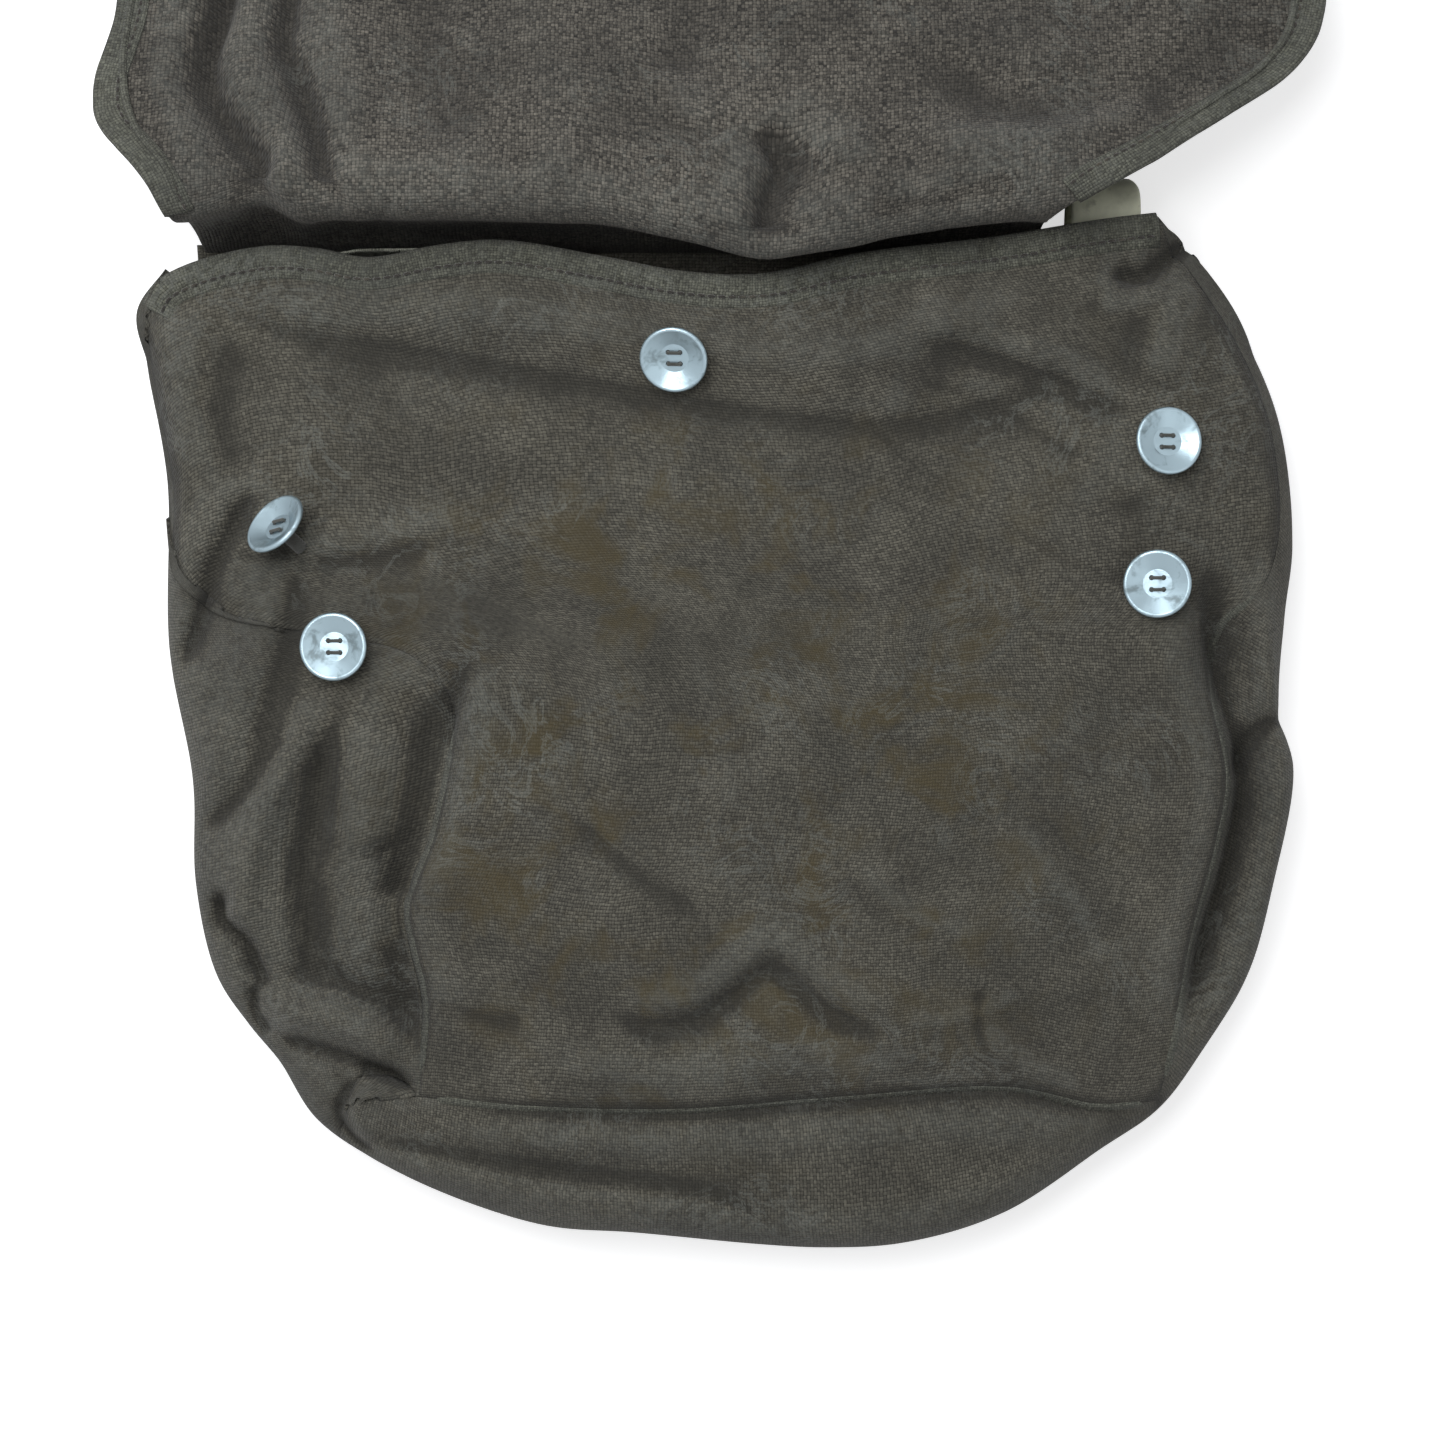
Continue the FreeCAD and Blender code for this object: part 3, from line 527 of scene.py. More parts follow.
def lining_up(curve, start, end, count):
    """The part of an even curve between the points nearest to start and end, read at count even steps."""
    i = np.argmin(np.hypot(*(curve - start).T))
    j = np.argmin(np.hypot(*(curve - end).T))
    at = np.linspace(i, j, count)
    return np.stack([np.interp(at, np.arange(len(curve)), curve[:, k]) for k in range(2)], axis=1)


def patch(top, bottom, left, right):
    """A blended patch between four curves: the sum of the two ruled surfaces less the flat one."""
    u = np.linspace(0, 1, len(top))[None, :, None]
    v = np.linspace(0, 1, len(left))[:, None, None]
    ruled = (1 - v) * top[None] + v * bottom[None] + (1 - u) * left[:, None] + u * right[:, None]
    flat = ((1 - u) * (1 - v) * top[0] + u * (1 - v) * top[-1] + (1 - u) * v * bottom[0] + u * v * bottom[-1])
    return ruled - flat


def skin_points(plan, lift=0.0):
    """Plan points on the bag's upper side, lifted by an amount."""
    z = skin(plan[..., 0], plan[..., 1]) + lift
    return np.concatenate([plan, z[..., None]], axis=-1)


# ---- Finishes: shared node groups ------------------------------------------------------------
def tint(red, green, blue):
    """A colour written as 0 to 255 per channel, made linear."""
    c = np.array([red, green, blue]) / 255
    return tuple(np.where(c <= 0.04045, c / 12.92, ((c + 0.055) / 1.055) ** 2.4))


class Tree:
    """Short calls to place and wire nodes in one node tree."""

    def __init__(self, tree):
        self.tree = tree
        self.count = 0

    def add(self, kind, inputs=(), **settings):
        node = self.tree.nodes.new(kind)
        node.location = (200 * (self.count % 12), -260 * (self.count // 12))
        self.count += 1
        for name, value in settings.items():
            setattr(node, name, value)
        for key, value in dict(inputs).items():
            self.feed(node.inputs[key], value)
        return node

    def feed(self, socket, value):
        if isinstance(value, bpy.types.NodeSocket):
            self.tree.links.new(value, socket)
        else:
            socket.default_value = value

    def math(self, operation, a, b=0.0, c=0.0):
        return self.add("ShaderNodeMath", {0: a, 1: b, 2: c}, operation=operation).outputs[0]

    def mix(self, share, a, b, blend="MIX"):
        node = self.add("ShaderNodeMix", data_type="RGBA", blend_type=blend)
        for index, value in ((0, share), (6, a), (7, b)):
            if index and not isinstance(value, bpy.types.NodeSocket):
                value = (*value[:3], 1.0)
            self.feed(node.inputs[index], value)
        return node.outputs[2]

    def ramp(self, value, low, high, to_low=0.0, to_high=1.0):
        node = self.add("ShaderNodeMapRange", {0: value, 1: low, 2: high, 3: to_low, 4: to_high})
        node.interpolation_type = "SMOOTHSTEP"
        return node.outputs[0]

    def noise(self, vector, scale, detail=3.0, rough=0.55, twist=0.0):
        node = self.add("ShaderNodeTexNoise", {"Vector": vector, "Scale": scale, "Detail": detail,
                                               "Roughness": rough, "Distortion": twist})
        return node.outputs["Fac"]


def new_group(name, inputs, outputs):
    """An empty node group with named sockets, and its input and output nodes."""
    tree = bpy.data.node_groups.new(name, "ShaderNodeTree")
    for label, kind, value in inputs:
        socket = tree.interface.new_socket(label, in_out="INPUT", socket_type="NodeSocket" + kind)
        if value is not None:
            socket.default_value = value
    for label, kind in outputs:
        tree.interface.new_socket(label, in_out="OUTPUT", socket_type="NodeSocket" + kind)
    wires = Tree(tree)
    return wires, wires.add("NodeGroupInput"), wires.add("NodeGroupOutput")


def make_weave():
    """Woven threads: in each cell either the upright or the level thread is on top, rounded across and
    dipping at the cell's ends. Every thread has its own tone, which drifts along it."""
    t, given, out = new_group("canvas_weave", [("Vector", "Vector", None), ("Threads", "Float", 1100.0),
                                              ("Repeat", "Float", 2.0)],
                              [("Height", "Float"), ("Tone", "Float"), ("Gap Shade", "Float")])
    wander = t.add("ShaderNodeTexNoise", {"Vector": given.outputs[0], "Scale": 45.0, "Detail": 2.0})
    drift = t.add("ShaderNodeVectorMath", {0: wander.outputs["Color"], 1: (0.5, 0.5, 0.5)},
                  operation="SUBTRACT")
    drift = t.add("ShaderNodeVectorMath", {0: drift.outputs[0], "Scale": 0.003}, operation="SCALE")
    moved = t.add("ShaderNodeVectorMath", {0: given.outputs[0], 1: drift.outputs[0]}, operation="ADD")
    grown = t.add("ShaderNodeVectorMath", {0: moved.outputs[0], "Scale": given.outputs[1]}, operation="SCALE")
    parts = t.add("ShaderNodeSeparateXYZ", {0: grown.outputs[0]})
    u, v = parts.outputs[0], parts.outputs[1]
    iu, iv = t.math("FLOOR", u), t.math("FLOOR", v)
    round_u = t.math("SINE", t.math("MULTIPLY", t.math("FRACT", u), math.pi))
    round_v = t.math("SINE", t.math("MULTIPLY", t.math("FRACT", v), math.pi))
    cell = t.math("FLOORED_MODULO", t.math("ADD", iu, iv), given.outputs[2])
    upright = t.math("LESS_THAN", cell, 0.5)
    high_up = t.math("MULTIPLY", round_u, t.math("MULTIPLY_ADD", round_v, 0.5, 0.5))
    high_level = t.math("MULTIPLY", round_v, t.math("MULTIPLY_ADD", round_u, 0.5, 0.5))
    level = t.math("SUBTRACT", 1.0, upright)
    height = t.math("MULTIPLY_ADD", high_up, upright, t.math("MULTIPLY", high_level, level))
    tones = []
    for number, walk, seed in ((iu, v, 3.7), (iv, u, 51.3)):
        place = t.add("ShaderNodeCombineXYZ", {0: t.math("MULTIPLY", number, 7.13),
                                               1: t.math("MULTIPLY", walk, 0.7), 2: seed})
        tones.append(t.noise(place.outputs[0], 1.0, 2.0, 0.7))
    tone = t.math("MULTIPLY_ADD", tones[0], upright, t.math("MULTIPLY", tones[1], level))
    t.feed(out.inputs[0], height)
    t.feed(out.inputs[1], t.ramp(tone, 0.28, 0.72))
    # Painted shade: the gaps where the threads dip between each other, taken from the weave's height
    t.feed(out.inputs[2], t.ramp(height, 0.45, 0.05))
    return t.tree


def make_soiling_and_shading():
    """Use and dirt, and painted light: large brown patches, small dark spots, pale rubbing with painted
    highlight on crests, and painted shade in hollows.
    """
    t, given, out = new_group("soiling_and_shading", [("Vector", "Vector", None), ("Crest", "Float", 0.0),
                                          ("Stain", "Float", 0.5), ("Rub and Highlight", "Float", 0.5)],
                              [("Stain", "Float"), ("Spots", "Float"), ("Rub and Highlight", "Float"), ("Hollow Shade", "Float"),
                               ("Cloud", "Float"), ("Scuff", "Float")])
    at = given.outputs[0]
    large = t.noise(at, 42.0, 6.0, 0.62, 0.5)
    fine = t.noise(at, 260.0, 4.0, 0.7)
    away = t.add("ShaderNodeVectorMath", {0: at, 1: STAIN_CENTRE}, operation="DISTANCE").outputs["Value"]
    stain = t.math("MULTIPLY", t.ramp(large, 0.47, 0.68), t.ramp(away, 0.07, 0.17, 1.0, 0.12))
    stain = t.math("MULTIPLY", stain, given.outputs[2])
    spots = t.ramp(t.noise(at, 95.0, 3.0, 0.6), 0.69, 0.78)
    # Crests, found by the crest value, turn paler: partly wear, partly painted highlight
    rub_and_highlight = t.math("MULTIPLY", t.ramp(given.outputs[1], 0.05, 1.0), t.ramp(fine, 0.25, 0.7))
    rub_and_highlight = t.math("MULTIPLY", rub_and_highlight, given.outputs[3])
    # Painted shade: hollows, found by the crest value, are darkened
    hollow_shade = t.math("MULTIPLY", t.ramp(given.outputs[1], 0.05, -1.2), t.ramp(fine, 0.2, 0.6, 0.7, 1.0))
    line = t.math("ABSOLUTE", t.math("SUBTRACT", t.noise(at, 48.0, 7.0, 0.72, 1.2), 0.5))
    scuff = t.math("MULTIPLY", t.ramp(line, 0.03, 0.0), t.ramp(t.noise(at, 20.0, 2.0), 0.45, 0.65))
    for index, value in enumerate((stain, spots, rub_and_highlight, hollow_shade, t.noise(at, 34.0, 4.0, 0.6, 0.3), scuff)):
        t.feed(out.inputs[index], value)
    return t.tree


def new_material(name):
    """A material with a Principled shader, its wires and that shader."""
    material = bpy.data.materials.new(name)
    material.use_nodes = True
    wires = Tree(material.node_tree)
    return material, wires, material.node_tree.nodes["Principled BSDF"]


def cloth_finish(name, base, stain, threads, repeat, contrast, stained, rubbed_and_highlit, wear_and_highlight_colour):
    """Woven cloth: thread tones and painted shade in the gaps between threads on the base colour, then stain,
    spots, rubbing with painted highlight on crests, and painted shade in hollows.
    """
    material, t, shader = new_material(name)
    uv = t.add("ShaderNodeUVMap", uv_map="cloth").outputs[0]
    here = t.add("ShaderNodeTexCoord").outputs["Object"]
    crest_value = t.add("ShaderNodeAttribute", attribute_name="crest").outputs["Fac"]
    weave = t.add("ShaderNodeGroup", node_tree=bpy.data.node_groups["canvas_weave"])
    # This group gives stains, spots and scuffs, and also painted shade in hollows and painted highlight on
    # crests
    soiled = t.add("ShaderNodeGroup", node_tree=bpy.data.node_groups["soiling_and_shading"])
    for index, value in enumerate((uv, threads, repeat)):
        t.feed(weave.inputs[index], value)
    for index, value in enumerate((here, crest_value, stained, rubbed_and_highlit)):
        t.feed(soiled.inputs[index], value)
    base = np.array(base[:3])
    colour = t.mix(weave.outputs["Tone"], base * (1 - contrast), base * (1 + contrast))
    # Painted shade in the gaps between threads, from the weave's height
    colour = t.mix(t.math("MULTIPLY", weave.outputs["Gap Shade"], 0.95), colour, base * 0.16)
    fleck = t.ramp(t.noise(uv, 620.0, 2.0, 0.6), 0.3, 0.7, 0.88, 1.14)
    cloud = t.math("MULTIPLY", t.ramp(soiled.outputs["Cloud"], 0.3, 0.7, 0.76, 1.26), fleck)
    shade = t.add("ShaderNodeCombineColor", {0: cloud, 1: cloud, 2: cloud}).outputs[0]
    colour = t.mix(1.0, colour, shade, "MULTIPLY")
    colour = t.mix(soiled.outputs["Stain"], colour, stain)
    colour = t.mix(t.math("MULTIPLY", soiled.outputs["Spots"], 0.35), colour, base * 0.3)
    # Painted shade in the hollows
    colour = t.mix(t.math("MULTIPLY", soiled.outputs["Hollow Shade"], 0.8), colour, base * 0.25)
    pale_wear_and_highlight = wear_and_highlight_colour if wear_and_highlight_colour is not None else base * 2.2
    colour = t.mix(t.math("MULTIPLY", soiled.outputs["Scuff"], 0.4), colour, pale_wear_and_highlight)
    # Crests turn paler: wear, and painted highlight
    colour = t.mix(t.math("MULTIPLY", soiled.outputs["Rub and Highlight"], 0.5), colour, pale_wear_and_highlight)
    t.feed(shader.inputs["Base Color"], colour)
    t.feed(shader.inputs["Roughness"], t.ramp(weave.outputs["Height"], 0.0, 1.0, 0.95, 0.78))
    shader.inputs["Sheen Weight"].default_value = CLOTH_SHEEN
    shader.inputs["Sheen Roughness"].default_value = 0.6
    shader.inputs["Specular IOR Level"].default_value = 0.3
    fuzz = t.math("MULTIPLY", t.noise(here, 700.0, 2.0, 0.7), 0.35)
    bump = t.add("ShaderNodeBump", {"Strength": 0.8, "Distance": 0.0004,
                                    "Height": t.math("ADD", weave.outputs["Height"], fuzz)})
    t.feed(shader.inputs["Normal"], bump.outputs[0])
    return material


def leather_finish(name, base, worn):
    """Smooth leather with small pores, fine creases and a darker worn skin in patches."""
    material, t, shader = new_material(name)
    here = t.add("ShaderNodeTexCoord").outputs["Object"]
    cells = t.add("ShaderNodeTexVoronoi", {"Vector": here, "Scale": 900.0}, feature="F1").outputs["Distance"]
    cloud = t.noise(here, 60.0, 4.0, 0.6, 0.4)
    colour = t.mix(t.ramp(cloud, 0.35, 0.65), base, worn)
    colour = t.mix(t.ramp(t.noise(here, 190.0, 3.0), 0.6, 0.75), colour, np.array(base[:3]) * 0.55)
    t.feed(shader.inputs["Base Color"], colour)
    t.feed(shader.inputs["Roughness"], t.ramp(cloud, 0.3, 0.7, 0.62, 0.42))
    height = t.math("ADD", t.math("MULTIPLY", cells, 0.7), t.noise(here, 240.0, 4.0))
    t.feed(shader.inputs["Normal"], t.add("ShaderNodeBump", {"Strength": 0.4, "Distance": 0.0003,
                                                              "Height": height}).outputs[0])
    return material


def metal_finish(name, base, tarnish):
    """Pressed metal: bright, lightly scratched, with dull tarnish that gathers in patches."""
    material, t, shader = new_material(name)
    here = t.add("ShaderNodeTexCoord").outputs["Object"]
    patches = t.noise(here, 150.0, 4.0, 0.6, 0.5)
    drawn = t.add("ShaderNodeMapping", {"Vector": here, "Scale": (1.0, 9.0, 1.0)}).outputs[0]
    scratches = t.noise(drawn, 700.0, 3.0)
    colour = t.mix(t.ramp(patches, 0.52, 0.7), base, tarnish)
    t.feed(shader.inputs["Base Color"], colour)
    t.feed(shader.inputs["Metallic"], t.ramp(patches, 0.45, 0.75, 0.85, 0.45))
    t.feed(shader.inputs["Roughness"], t.ramp(patches, 0.35, 0.7, 0.28, 0.55))
    height = t.math("ADD", t.math("MULTIPLY", patches, 0.4), t.math("MULTIPLY", scratches, 0.5))
    t.feed(shader.inputs["Normal"], t.add("ShaderNodeBump", {"Strength": 0.35, "Distance": 0.0002,
                                                              "Height": height}).outputs[0])
    return material


def thread_finish(name, base, dirt):
    """Twisted thread: slanting plies that vary in tone."""
    material, t, shader = new_material(name)
    here = t.add("ShaderNodeTexCoord").outputs["Object"]
    plies = t.add("ShaderNodeTexWave", {"Vector": here, "Scale": 800.0, "Distortion": 2.0, "Detail": 2.0},
                  bands_direction="DIAGONAL").outputs["Fac"]
    colour = t.mix(t.ramp(plies, 0.2, 0.8), np.array(base[:3]) * 0.7, base)
    colour = t.mix(t.ramp(t.noise(here, 120.0, 3.0), 0.45, 0.7), colour, dirt)
    t.feed(shader.inputs["Base Color"], colour)
    shader.inputs["Roughness"].default_value = 0.8
    shader.inputs["Sheen Weight"].default_value = 0.3
    t.feed(shader.inputs["Normal"], t.add("ShaderNodeBump", {"Strength": 0.5, "Distance": 0.0002,
                                                              "Height": plies}).outputs[0])
    return material


# ---- Sizes and colours that a user may change --------------------------------------------------
def length_value(name, text, default):
    return bpy.props.FloatProperty(name=name, description=text, default=default, min=0.0, subtype="DISTANCE",
                                   unit="LENGTH")


def colour_value(name, text, red, green, blue):
    return bpy.props.FloatVectorProperty(name=name, description=text, default=tint(red, green, blue), min=0.0,
                                         max=1.0, size=3, subtype="COLOR")


class SackSizes(bpy.types.PropertyGroup):
    """Sizes of the cloth pieces and the sewing."""

    roll: length_value("Edge roll", "Width in which the cloth rolls down at the bag's outline", 0.018)
    cloth: length_value("Cloth thickness", "Thickness of the canvas", 0.0012)
    hem: length_value("Hem width", "Width of the turned hem", 0.0095)
    binding: length_value("Binding width", "Width of the binding round the flap", 0.009)
    piping: length_value("Piping radius", "Radius of the piping beside the binding", 0.0014)
    stitch_pitch: length_value("Stitch spacing", "Distance from stitch to stitch", 0.0034)
    stitch_length: length_value("Stitch length", "Length of one visible stitch", 0.0024)
    stitch_width: length_value("Thread width", "Thickness of the sewing thread", 0.0010)


class SackColours(bpy.types.PropertyGroup):
    """Colours of the cloths, the leather and the metal."""

    front: colour_value("Front", "Colour of the front panel", 81, 79, 71)
    gusset: colour_value("Gussets", "Colour of the gussets and the back", 81, 79, 71)
    flap: colour_value("Flap", "Colour of the flap's inner side", 78, 75, 69)
    edging: colour_value("Edging", "Colour of the hem and the binding", 84, 85, 76)
    stain: colour_value("Stain", "Colour of the brown stains", 72, 64, 42)
    # Pale colour of worn crests, also used as painted highlight on every crest
    rubbed_and_highlit: colour_value("Rubbed cloth", "Colour of worn crests", 118, 121, 116)
    liner: colour_value("Liner", "Colour of the cotton pouch", 150, 152, 140)
    leather: colour_value("Leather", "Colour of the strap", 222, 224, 200)
    metal: colour_value("Metal", "Colour of the buttons", 158, 178, 188)
    tarnish: colour_value("Tarnish", "Colour of dull metal", 120, 136, 142)
    rivet: colour_value("Rivets", "Colour of the strap's rivets", 168, 150, 112)
    # The thread's dark colour is painted shade: it stands for the dark needle holes along the stitch rows
    thread: colour_value("Thread", "Colour of the sewing thread", 38, 34, 28)
    thread_dirt: colour_value("Thread dirt", "Colour of soiled sewing thread", 70, 66, 56)
    twine: colour_value("Twine", "Colour of the buttons' twine", 74, 76, 72)
    twine_dirt: colour_value("Twine dirt", "Colour of soiled twine", 40, 38, 34)
    floor: colour_value("Floor", "Colour of the surface", 235, 236, 238)


FINISHES = {}
BAG_MIDDLE = (0.0, -150.0, 20.0)
UNDER_FLAP = (0, 120, -60)                           # a point below the open flap, inside its curve
GRID_STEP = 1.7                                      # spacing of the cloth grids' points
HEM_COUNT = 420                                      # points along the hem
LINER_THICKNESS, STAY_THICKNESS, FACING_THICKNESS = 0.0007, 0.001, 0.0008
BUTTONHOLE_X, BUTTONHOLE_PAST = 135.0, 124.0         # from the flap's middle, and past its crease
EDGE_START = -6.0                                    # the binding starts this far short of the crease

# Sections across a route: distance to its side and height
RIDGE_PROFILE = np.array([
    (-1.9, -0.9), (-1.2, 0.2), (-0.5, 0.7), (0.3, 0.7), (1.1, 0.2), (1.8, -0.9), (0, -1.4),
])
STRAP_PROFILE = np.array([
    (-11.4, -1.0), (-11.8, 0), (-11.4, 1.0), (-10.3, 1.45), (-8.6, 1.3), (0, 1.4), (8.6, 1.3),
    (10.3, 1.45), (11.4, 1.0), (11.8, 0), (11.4, -1.0), (10.3, -1.4), (0, -1.3), (-10.3, -1.4),
])
# Paths in y and z: the strap out of the mouth and back, and the pouch from its lip round its foot
STRAP_PATH = [
    (-60, 3.6), (-20, 3.7), (2, 4.0), (18, 6.0), (27.5, 12), (30.5, 21), (27, 29.5), (18, 32),
    (8, 26), (5, 17), (-3, 10.5), (-20, 8.6), (-60, 8.4), (-94, 8.6),
]
LINER_PATH = [
    (0, 34), (0.5, 20), (0, 8), (-8, 3.2), (-60, 2.6), (-205, 2.6), (-211, 3.6), (-205, 5.0),
    (-60, 5.4), (-22, 6.5),
]
LINER_TOP = 34
# How far the pouch's lip stands towards the flap, by x
LINER_LIP = np.array([
    (-140, 0), (-134, 4), (-120, 5.5), (-100, 5.5), (-88, 5), (-78, -6), (0, -14),
    (18, -9), (28, 1), (40, 1), (50, -8), (117, -9),
])


def sizes():
    return bpy.context.scene.sack_sizes


def colours():
    return bpy.context.scene.sack_colours


class PieceOperator(bpy.types.Operator):
    """Shared settings of the operators that build the pieces."""

    bl_options = {"REGISTER", "UNDO"}


class SACK_OT_finishes(PieceOperator):
    """Make the node groups and the materials of every finish"""

    bl_idname = "sack.finishes"
    bl_label = "Finishes"

    def execute(self, context):
        c = colours()
        make_weave()
        make_soiling_and_shading()
        stain, rubbed_and_highlit = tuple(c.stain), tuple(c.rubbed_and_highlit)
        # threads to the metre, cells in the weave's repeat, thread contrast, stain, rubbing with painted
        # highlight, worn colour that also serves as painted highlight
        cloths = (
            ("front", "front_canvas", c.front, 900.0, 3.0, 0.46, 0.85, 0.45, rubbed_and_highlit),
            ("gusset", "gusset_canvas", c.gusset, 900.0, 3.0, 0.46, 0.4, 0.45, rubbed_and_highlit),
            ("flap", "flap_canvas", c.flap, 800.0, 2.0, 0.85, 0.3, 0.5, rubbed_and_highlit),
            ("edging", "edging_canvas", c.edging, 1000.0, 2.0, 0.6, 0.2, 0.4, rubbed_and_highlit),
            ("liner", "liner_cotton", c.liner, 1600.0, 2.0, 0.25, 0.25, 0.3, None),
        )
        for key, name, base, *settings in cloths:
            FINISHES[key] = cloth_finish(name, base, stain, *settings)
        FINISHES["leather"] = leather_finish("strap_leather", c.leather, np.array(c.leather) * 0.72)
        FINISHES["metal"] = metal_finish("button_metal", c.metal, tuple(c.tarnish))
        FINISHES["rivet"] = metal_finish("rivet_metal", c.rivet, tuple(c.tarnish))
        FINISHES["thread"] = thread_finish("sewing_thread", c.thread, c.thread_dirt)
        FINISHES["twine"] = thread_finish("button_twine", c.twine, c.twine_dirt)
        return {"FINISHED"}


def seam_curves():
    """The front panel's four edges, each read at a steady spacing."""
    columns, rows = int(345 / GRID_STEP), int(300 / GRID_STEP)
    return (spline(HEM, columns), spline(BOTTOM_SEAM, columns),
            spline(LEFT_EDGE, rows), spline(RIGHT_EDGE, rows))


class SACK_OT_front(PieceOperator):
    """Build the front panel and the raised seams round it"""

    bl_idname = "sack.front"
    bl_label = "Front panel"

    def execute(self, context):
        hem, bottom, left, right = seam_curves()
        mesh = grid_mesh([(skin_points(patch(hem, bottom, left, right)), None)])
        tidy(mesh, BAG_MIDDLE)
        cloth = piece("front_cloth", mesh, "bag", FINISHES["front"], "canvas", "front_panel")
        thicken(cloth, sizes().cloth)
        ridges = []
        for route, first, last in ((left, 0.60, 1.0), (bottom, 0.0, 1.0), (right, 0.42, 1.0)):
            part = route[int(first * len(route)):int(last * len(route))]
            side = across(part)
            ends = np.minimum(1, np.minimum(np.arange(len(part)), np.arange(len(part))[::-1]) / 9)[:, None]
            plan = part[:, None] + side[:, None] * RIDGE_PROFILE[None, :, :1]
            points = skin_points(plan)
            points[..., 2] += RIDGE_PROFILE[None, :, 1] * ends - (1 - ends) * 0.8
            ridges.append((points, None))
        mesh = grid_mesh(ridges, closed=True)
        tidy(mesh, cap=True)
        piece("seam_ridges", mesh, "bag", FINISHES["edging"], "canvas")
        return {"FINISHED"}


def gusset_grid(seam, rim):
    """A gusset from a seam curve out to the bag's outline, then as a quarter round down to the surface
    and in under the bag."""
    share = 1 - (1 - np.linspace(0, 1, 30)) ** 1.5
    plan = seam[:, None] * (1 - share)[None, :, None] + rim[:, None] * share[None, :, None]
    top = skin_points(plan)
    top[:, -1, 2] = crown(rim[:, 0], rim[:, 1]) / 2
    turn = np.linspace(0, np.pi / 2, 12)[1:]
    inward = across(np.asarray(OUTLINE_LINE))
    near = np.argmin(np.hypot(rim[:, :1] - OUTLINE_LINE[:, 0], rim[:, 1:] - OUTLINE_LINE[:, 1]), axis=1)
    under = rim[:, None] + inward[near][:, None] * (14 * (1 - np.cos(turn)))[None, :, None]
    height = top[:, -1:, 2] * (1 - np.sin(turn)) + 1.9 * np.sin(turn)
    wrinkle = 1.6 * rumple(under[..., 0] + height, under[..., 1] - height, 23) * np.sin(2 * turn)
    under = under + inward[near][:, None] * wrinkle[..., None]
    under = np.concatenate([under, height[..., None]], axis=-1)
    return np.concatenate([top, under], axis=1)


class SACK_OT_gussets(PieceOperator):
    """Build the left, bottom and right gussets"""

    bl_idname = "sack.gussets"
    bl_label = "Gussets"

    def execute(self, context):
        left = spline(LEFT_EDGE, 190)
        left = np.concatenate([left, spline(LEFT_CORNER, 14)[1:]])
        bottom = np.concatenate([spline(LEFT_CORNER[::-1], 20)[:-1], spline(BOTTOM_SEAM, 180)])
        right = spline(RIGHT_EDGE, 190)[::-1]
        runs = (
            ("left_gusset", left, (-184, 0), (-126, -292), (0.085, 0.33)),
            ("bottom_gusset", bottom, (-126, -292), (150, -282), (0.080, 0.30)),
            ("right_gusset", right, (150, -282), (156, 8), (0.060, 0.31)),
        )
        for name, seam, start, end, flat in runs:
            rim = lining_up(OUTLINE_LINE, start, end, len(seam))
            mesh = grid_mesh([(gusset_grid(seam, rim), None)])
            tidy(mesh, BAG_MIDDLE)
            title = name.replace("gusset", "gusset_cloth")
            cloth = piece(title, mesh, "bag", FINISHES["gusset"], "canvas", name)
            thicken(cloth, sizes().cloth)
        return {"FINISHED"}


class SACK_OT_back(PieceOperator):
    """Build the back panel that the sack lies on"""

    bl_idname = "sack.back"
    bl_label = "Back panel"

    def execute(self, context):
        rim = OUTLINE_LINE[::3] + across(OUTLINE_LINE)[::3] * 9
        mouth = np.stack([np.linspace(156, -178, 160), np.full(160, 12.0)], axis=1)
        ring = np.concatenate([rim, mouth])
        scale = np.linspace(1, 0, 90)[:, None, None]
        middle = np.array([0.0, -150.0])
        plan = middle + (ring - middle)[None] * scale
        inside = np.minimum(1, 4 * (1 - scale[..., 0]))
        lift = 0.35 * (1 + lattice_noise(plan[..., 0], plan[..., 1], 40, 5)) * inside
        points = np.concatenate([plan, (0.2 + lift)[..., None]], axis=-1)
        mesh = grid_mesh([(points, plan * MM)], closed=True)
        tidy(mesh, (0, -150, 300))
        cloth = piece("back_cloth", mesh, "bag", FINISHES["gusset"], "canvas", "back_panel")
        thicken(cloth, sizes().cloth)
        return {"FINISHED"}


class SACK_OT_hem(PieceOperator):
    """Build the turned hem of the front panel and the rows of stitches beside it"""

    bl_idname = "sack.hem"
    bl_label = "Front hem"

    def execute(self, context):
        width = sizes().hem / MM
        path = spline(HEM, HEM_COUNT)
        inward = -across(path)
        profile = np.array([
            (width + 1, -0.6), (width + 0.4, 0.5), (width - 1, 1.0), (width * 0.78, 1.1),
            (width * 0.68, 0.45), (width * 0.58, 1.2), (width * 0.3, 1.7), (1, 1.7), (-0.8, 1.1), (-1.7, -0.3), (-1.5, -1.7),
            (0, -2.8), (3, -3.2), (width, -3.4), (width + 1, -2.4),
        ])
        plan = path[:, None] + inward[:, None] * profile[None, :, :1]
        points = skin_points(plan)
        steps = np.arange(float(HEM_COUNT))[:, None]
        ripple = 0.35 * lattice_noise(steps * 0.8, np.zeros((HEM_COUNT, 1)), 3.1, 8)
        points[..., 2] += profile[None, :, 1] * (1 + ripple)
        mesh = grid_mesh([(points, None)], closed=True)
        tidy(mesh, cap=True)
        band = piece("hem_band", mesh, "bag", FINISHES["edging"], "canvas_edge", "front_hem")
        soften(band)
        s = sizes()
        row = skin_points(path + inward * width * 0.68, 1.15)
        mesh = stitch_mesh([row], s.stitch_pitch / MM, s.stitch_length / MM, s.stitch_width / MM)
        piece("hem_stitches", mesh, "bag", FINISHES["thread"], "thread")
        return {"FINISHED"}


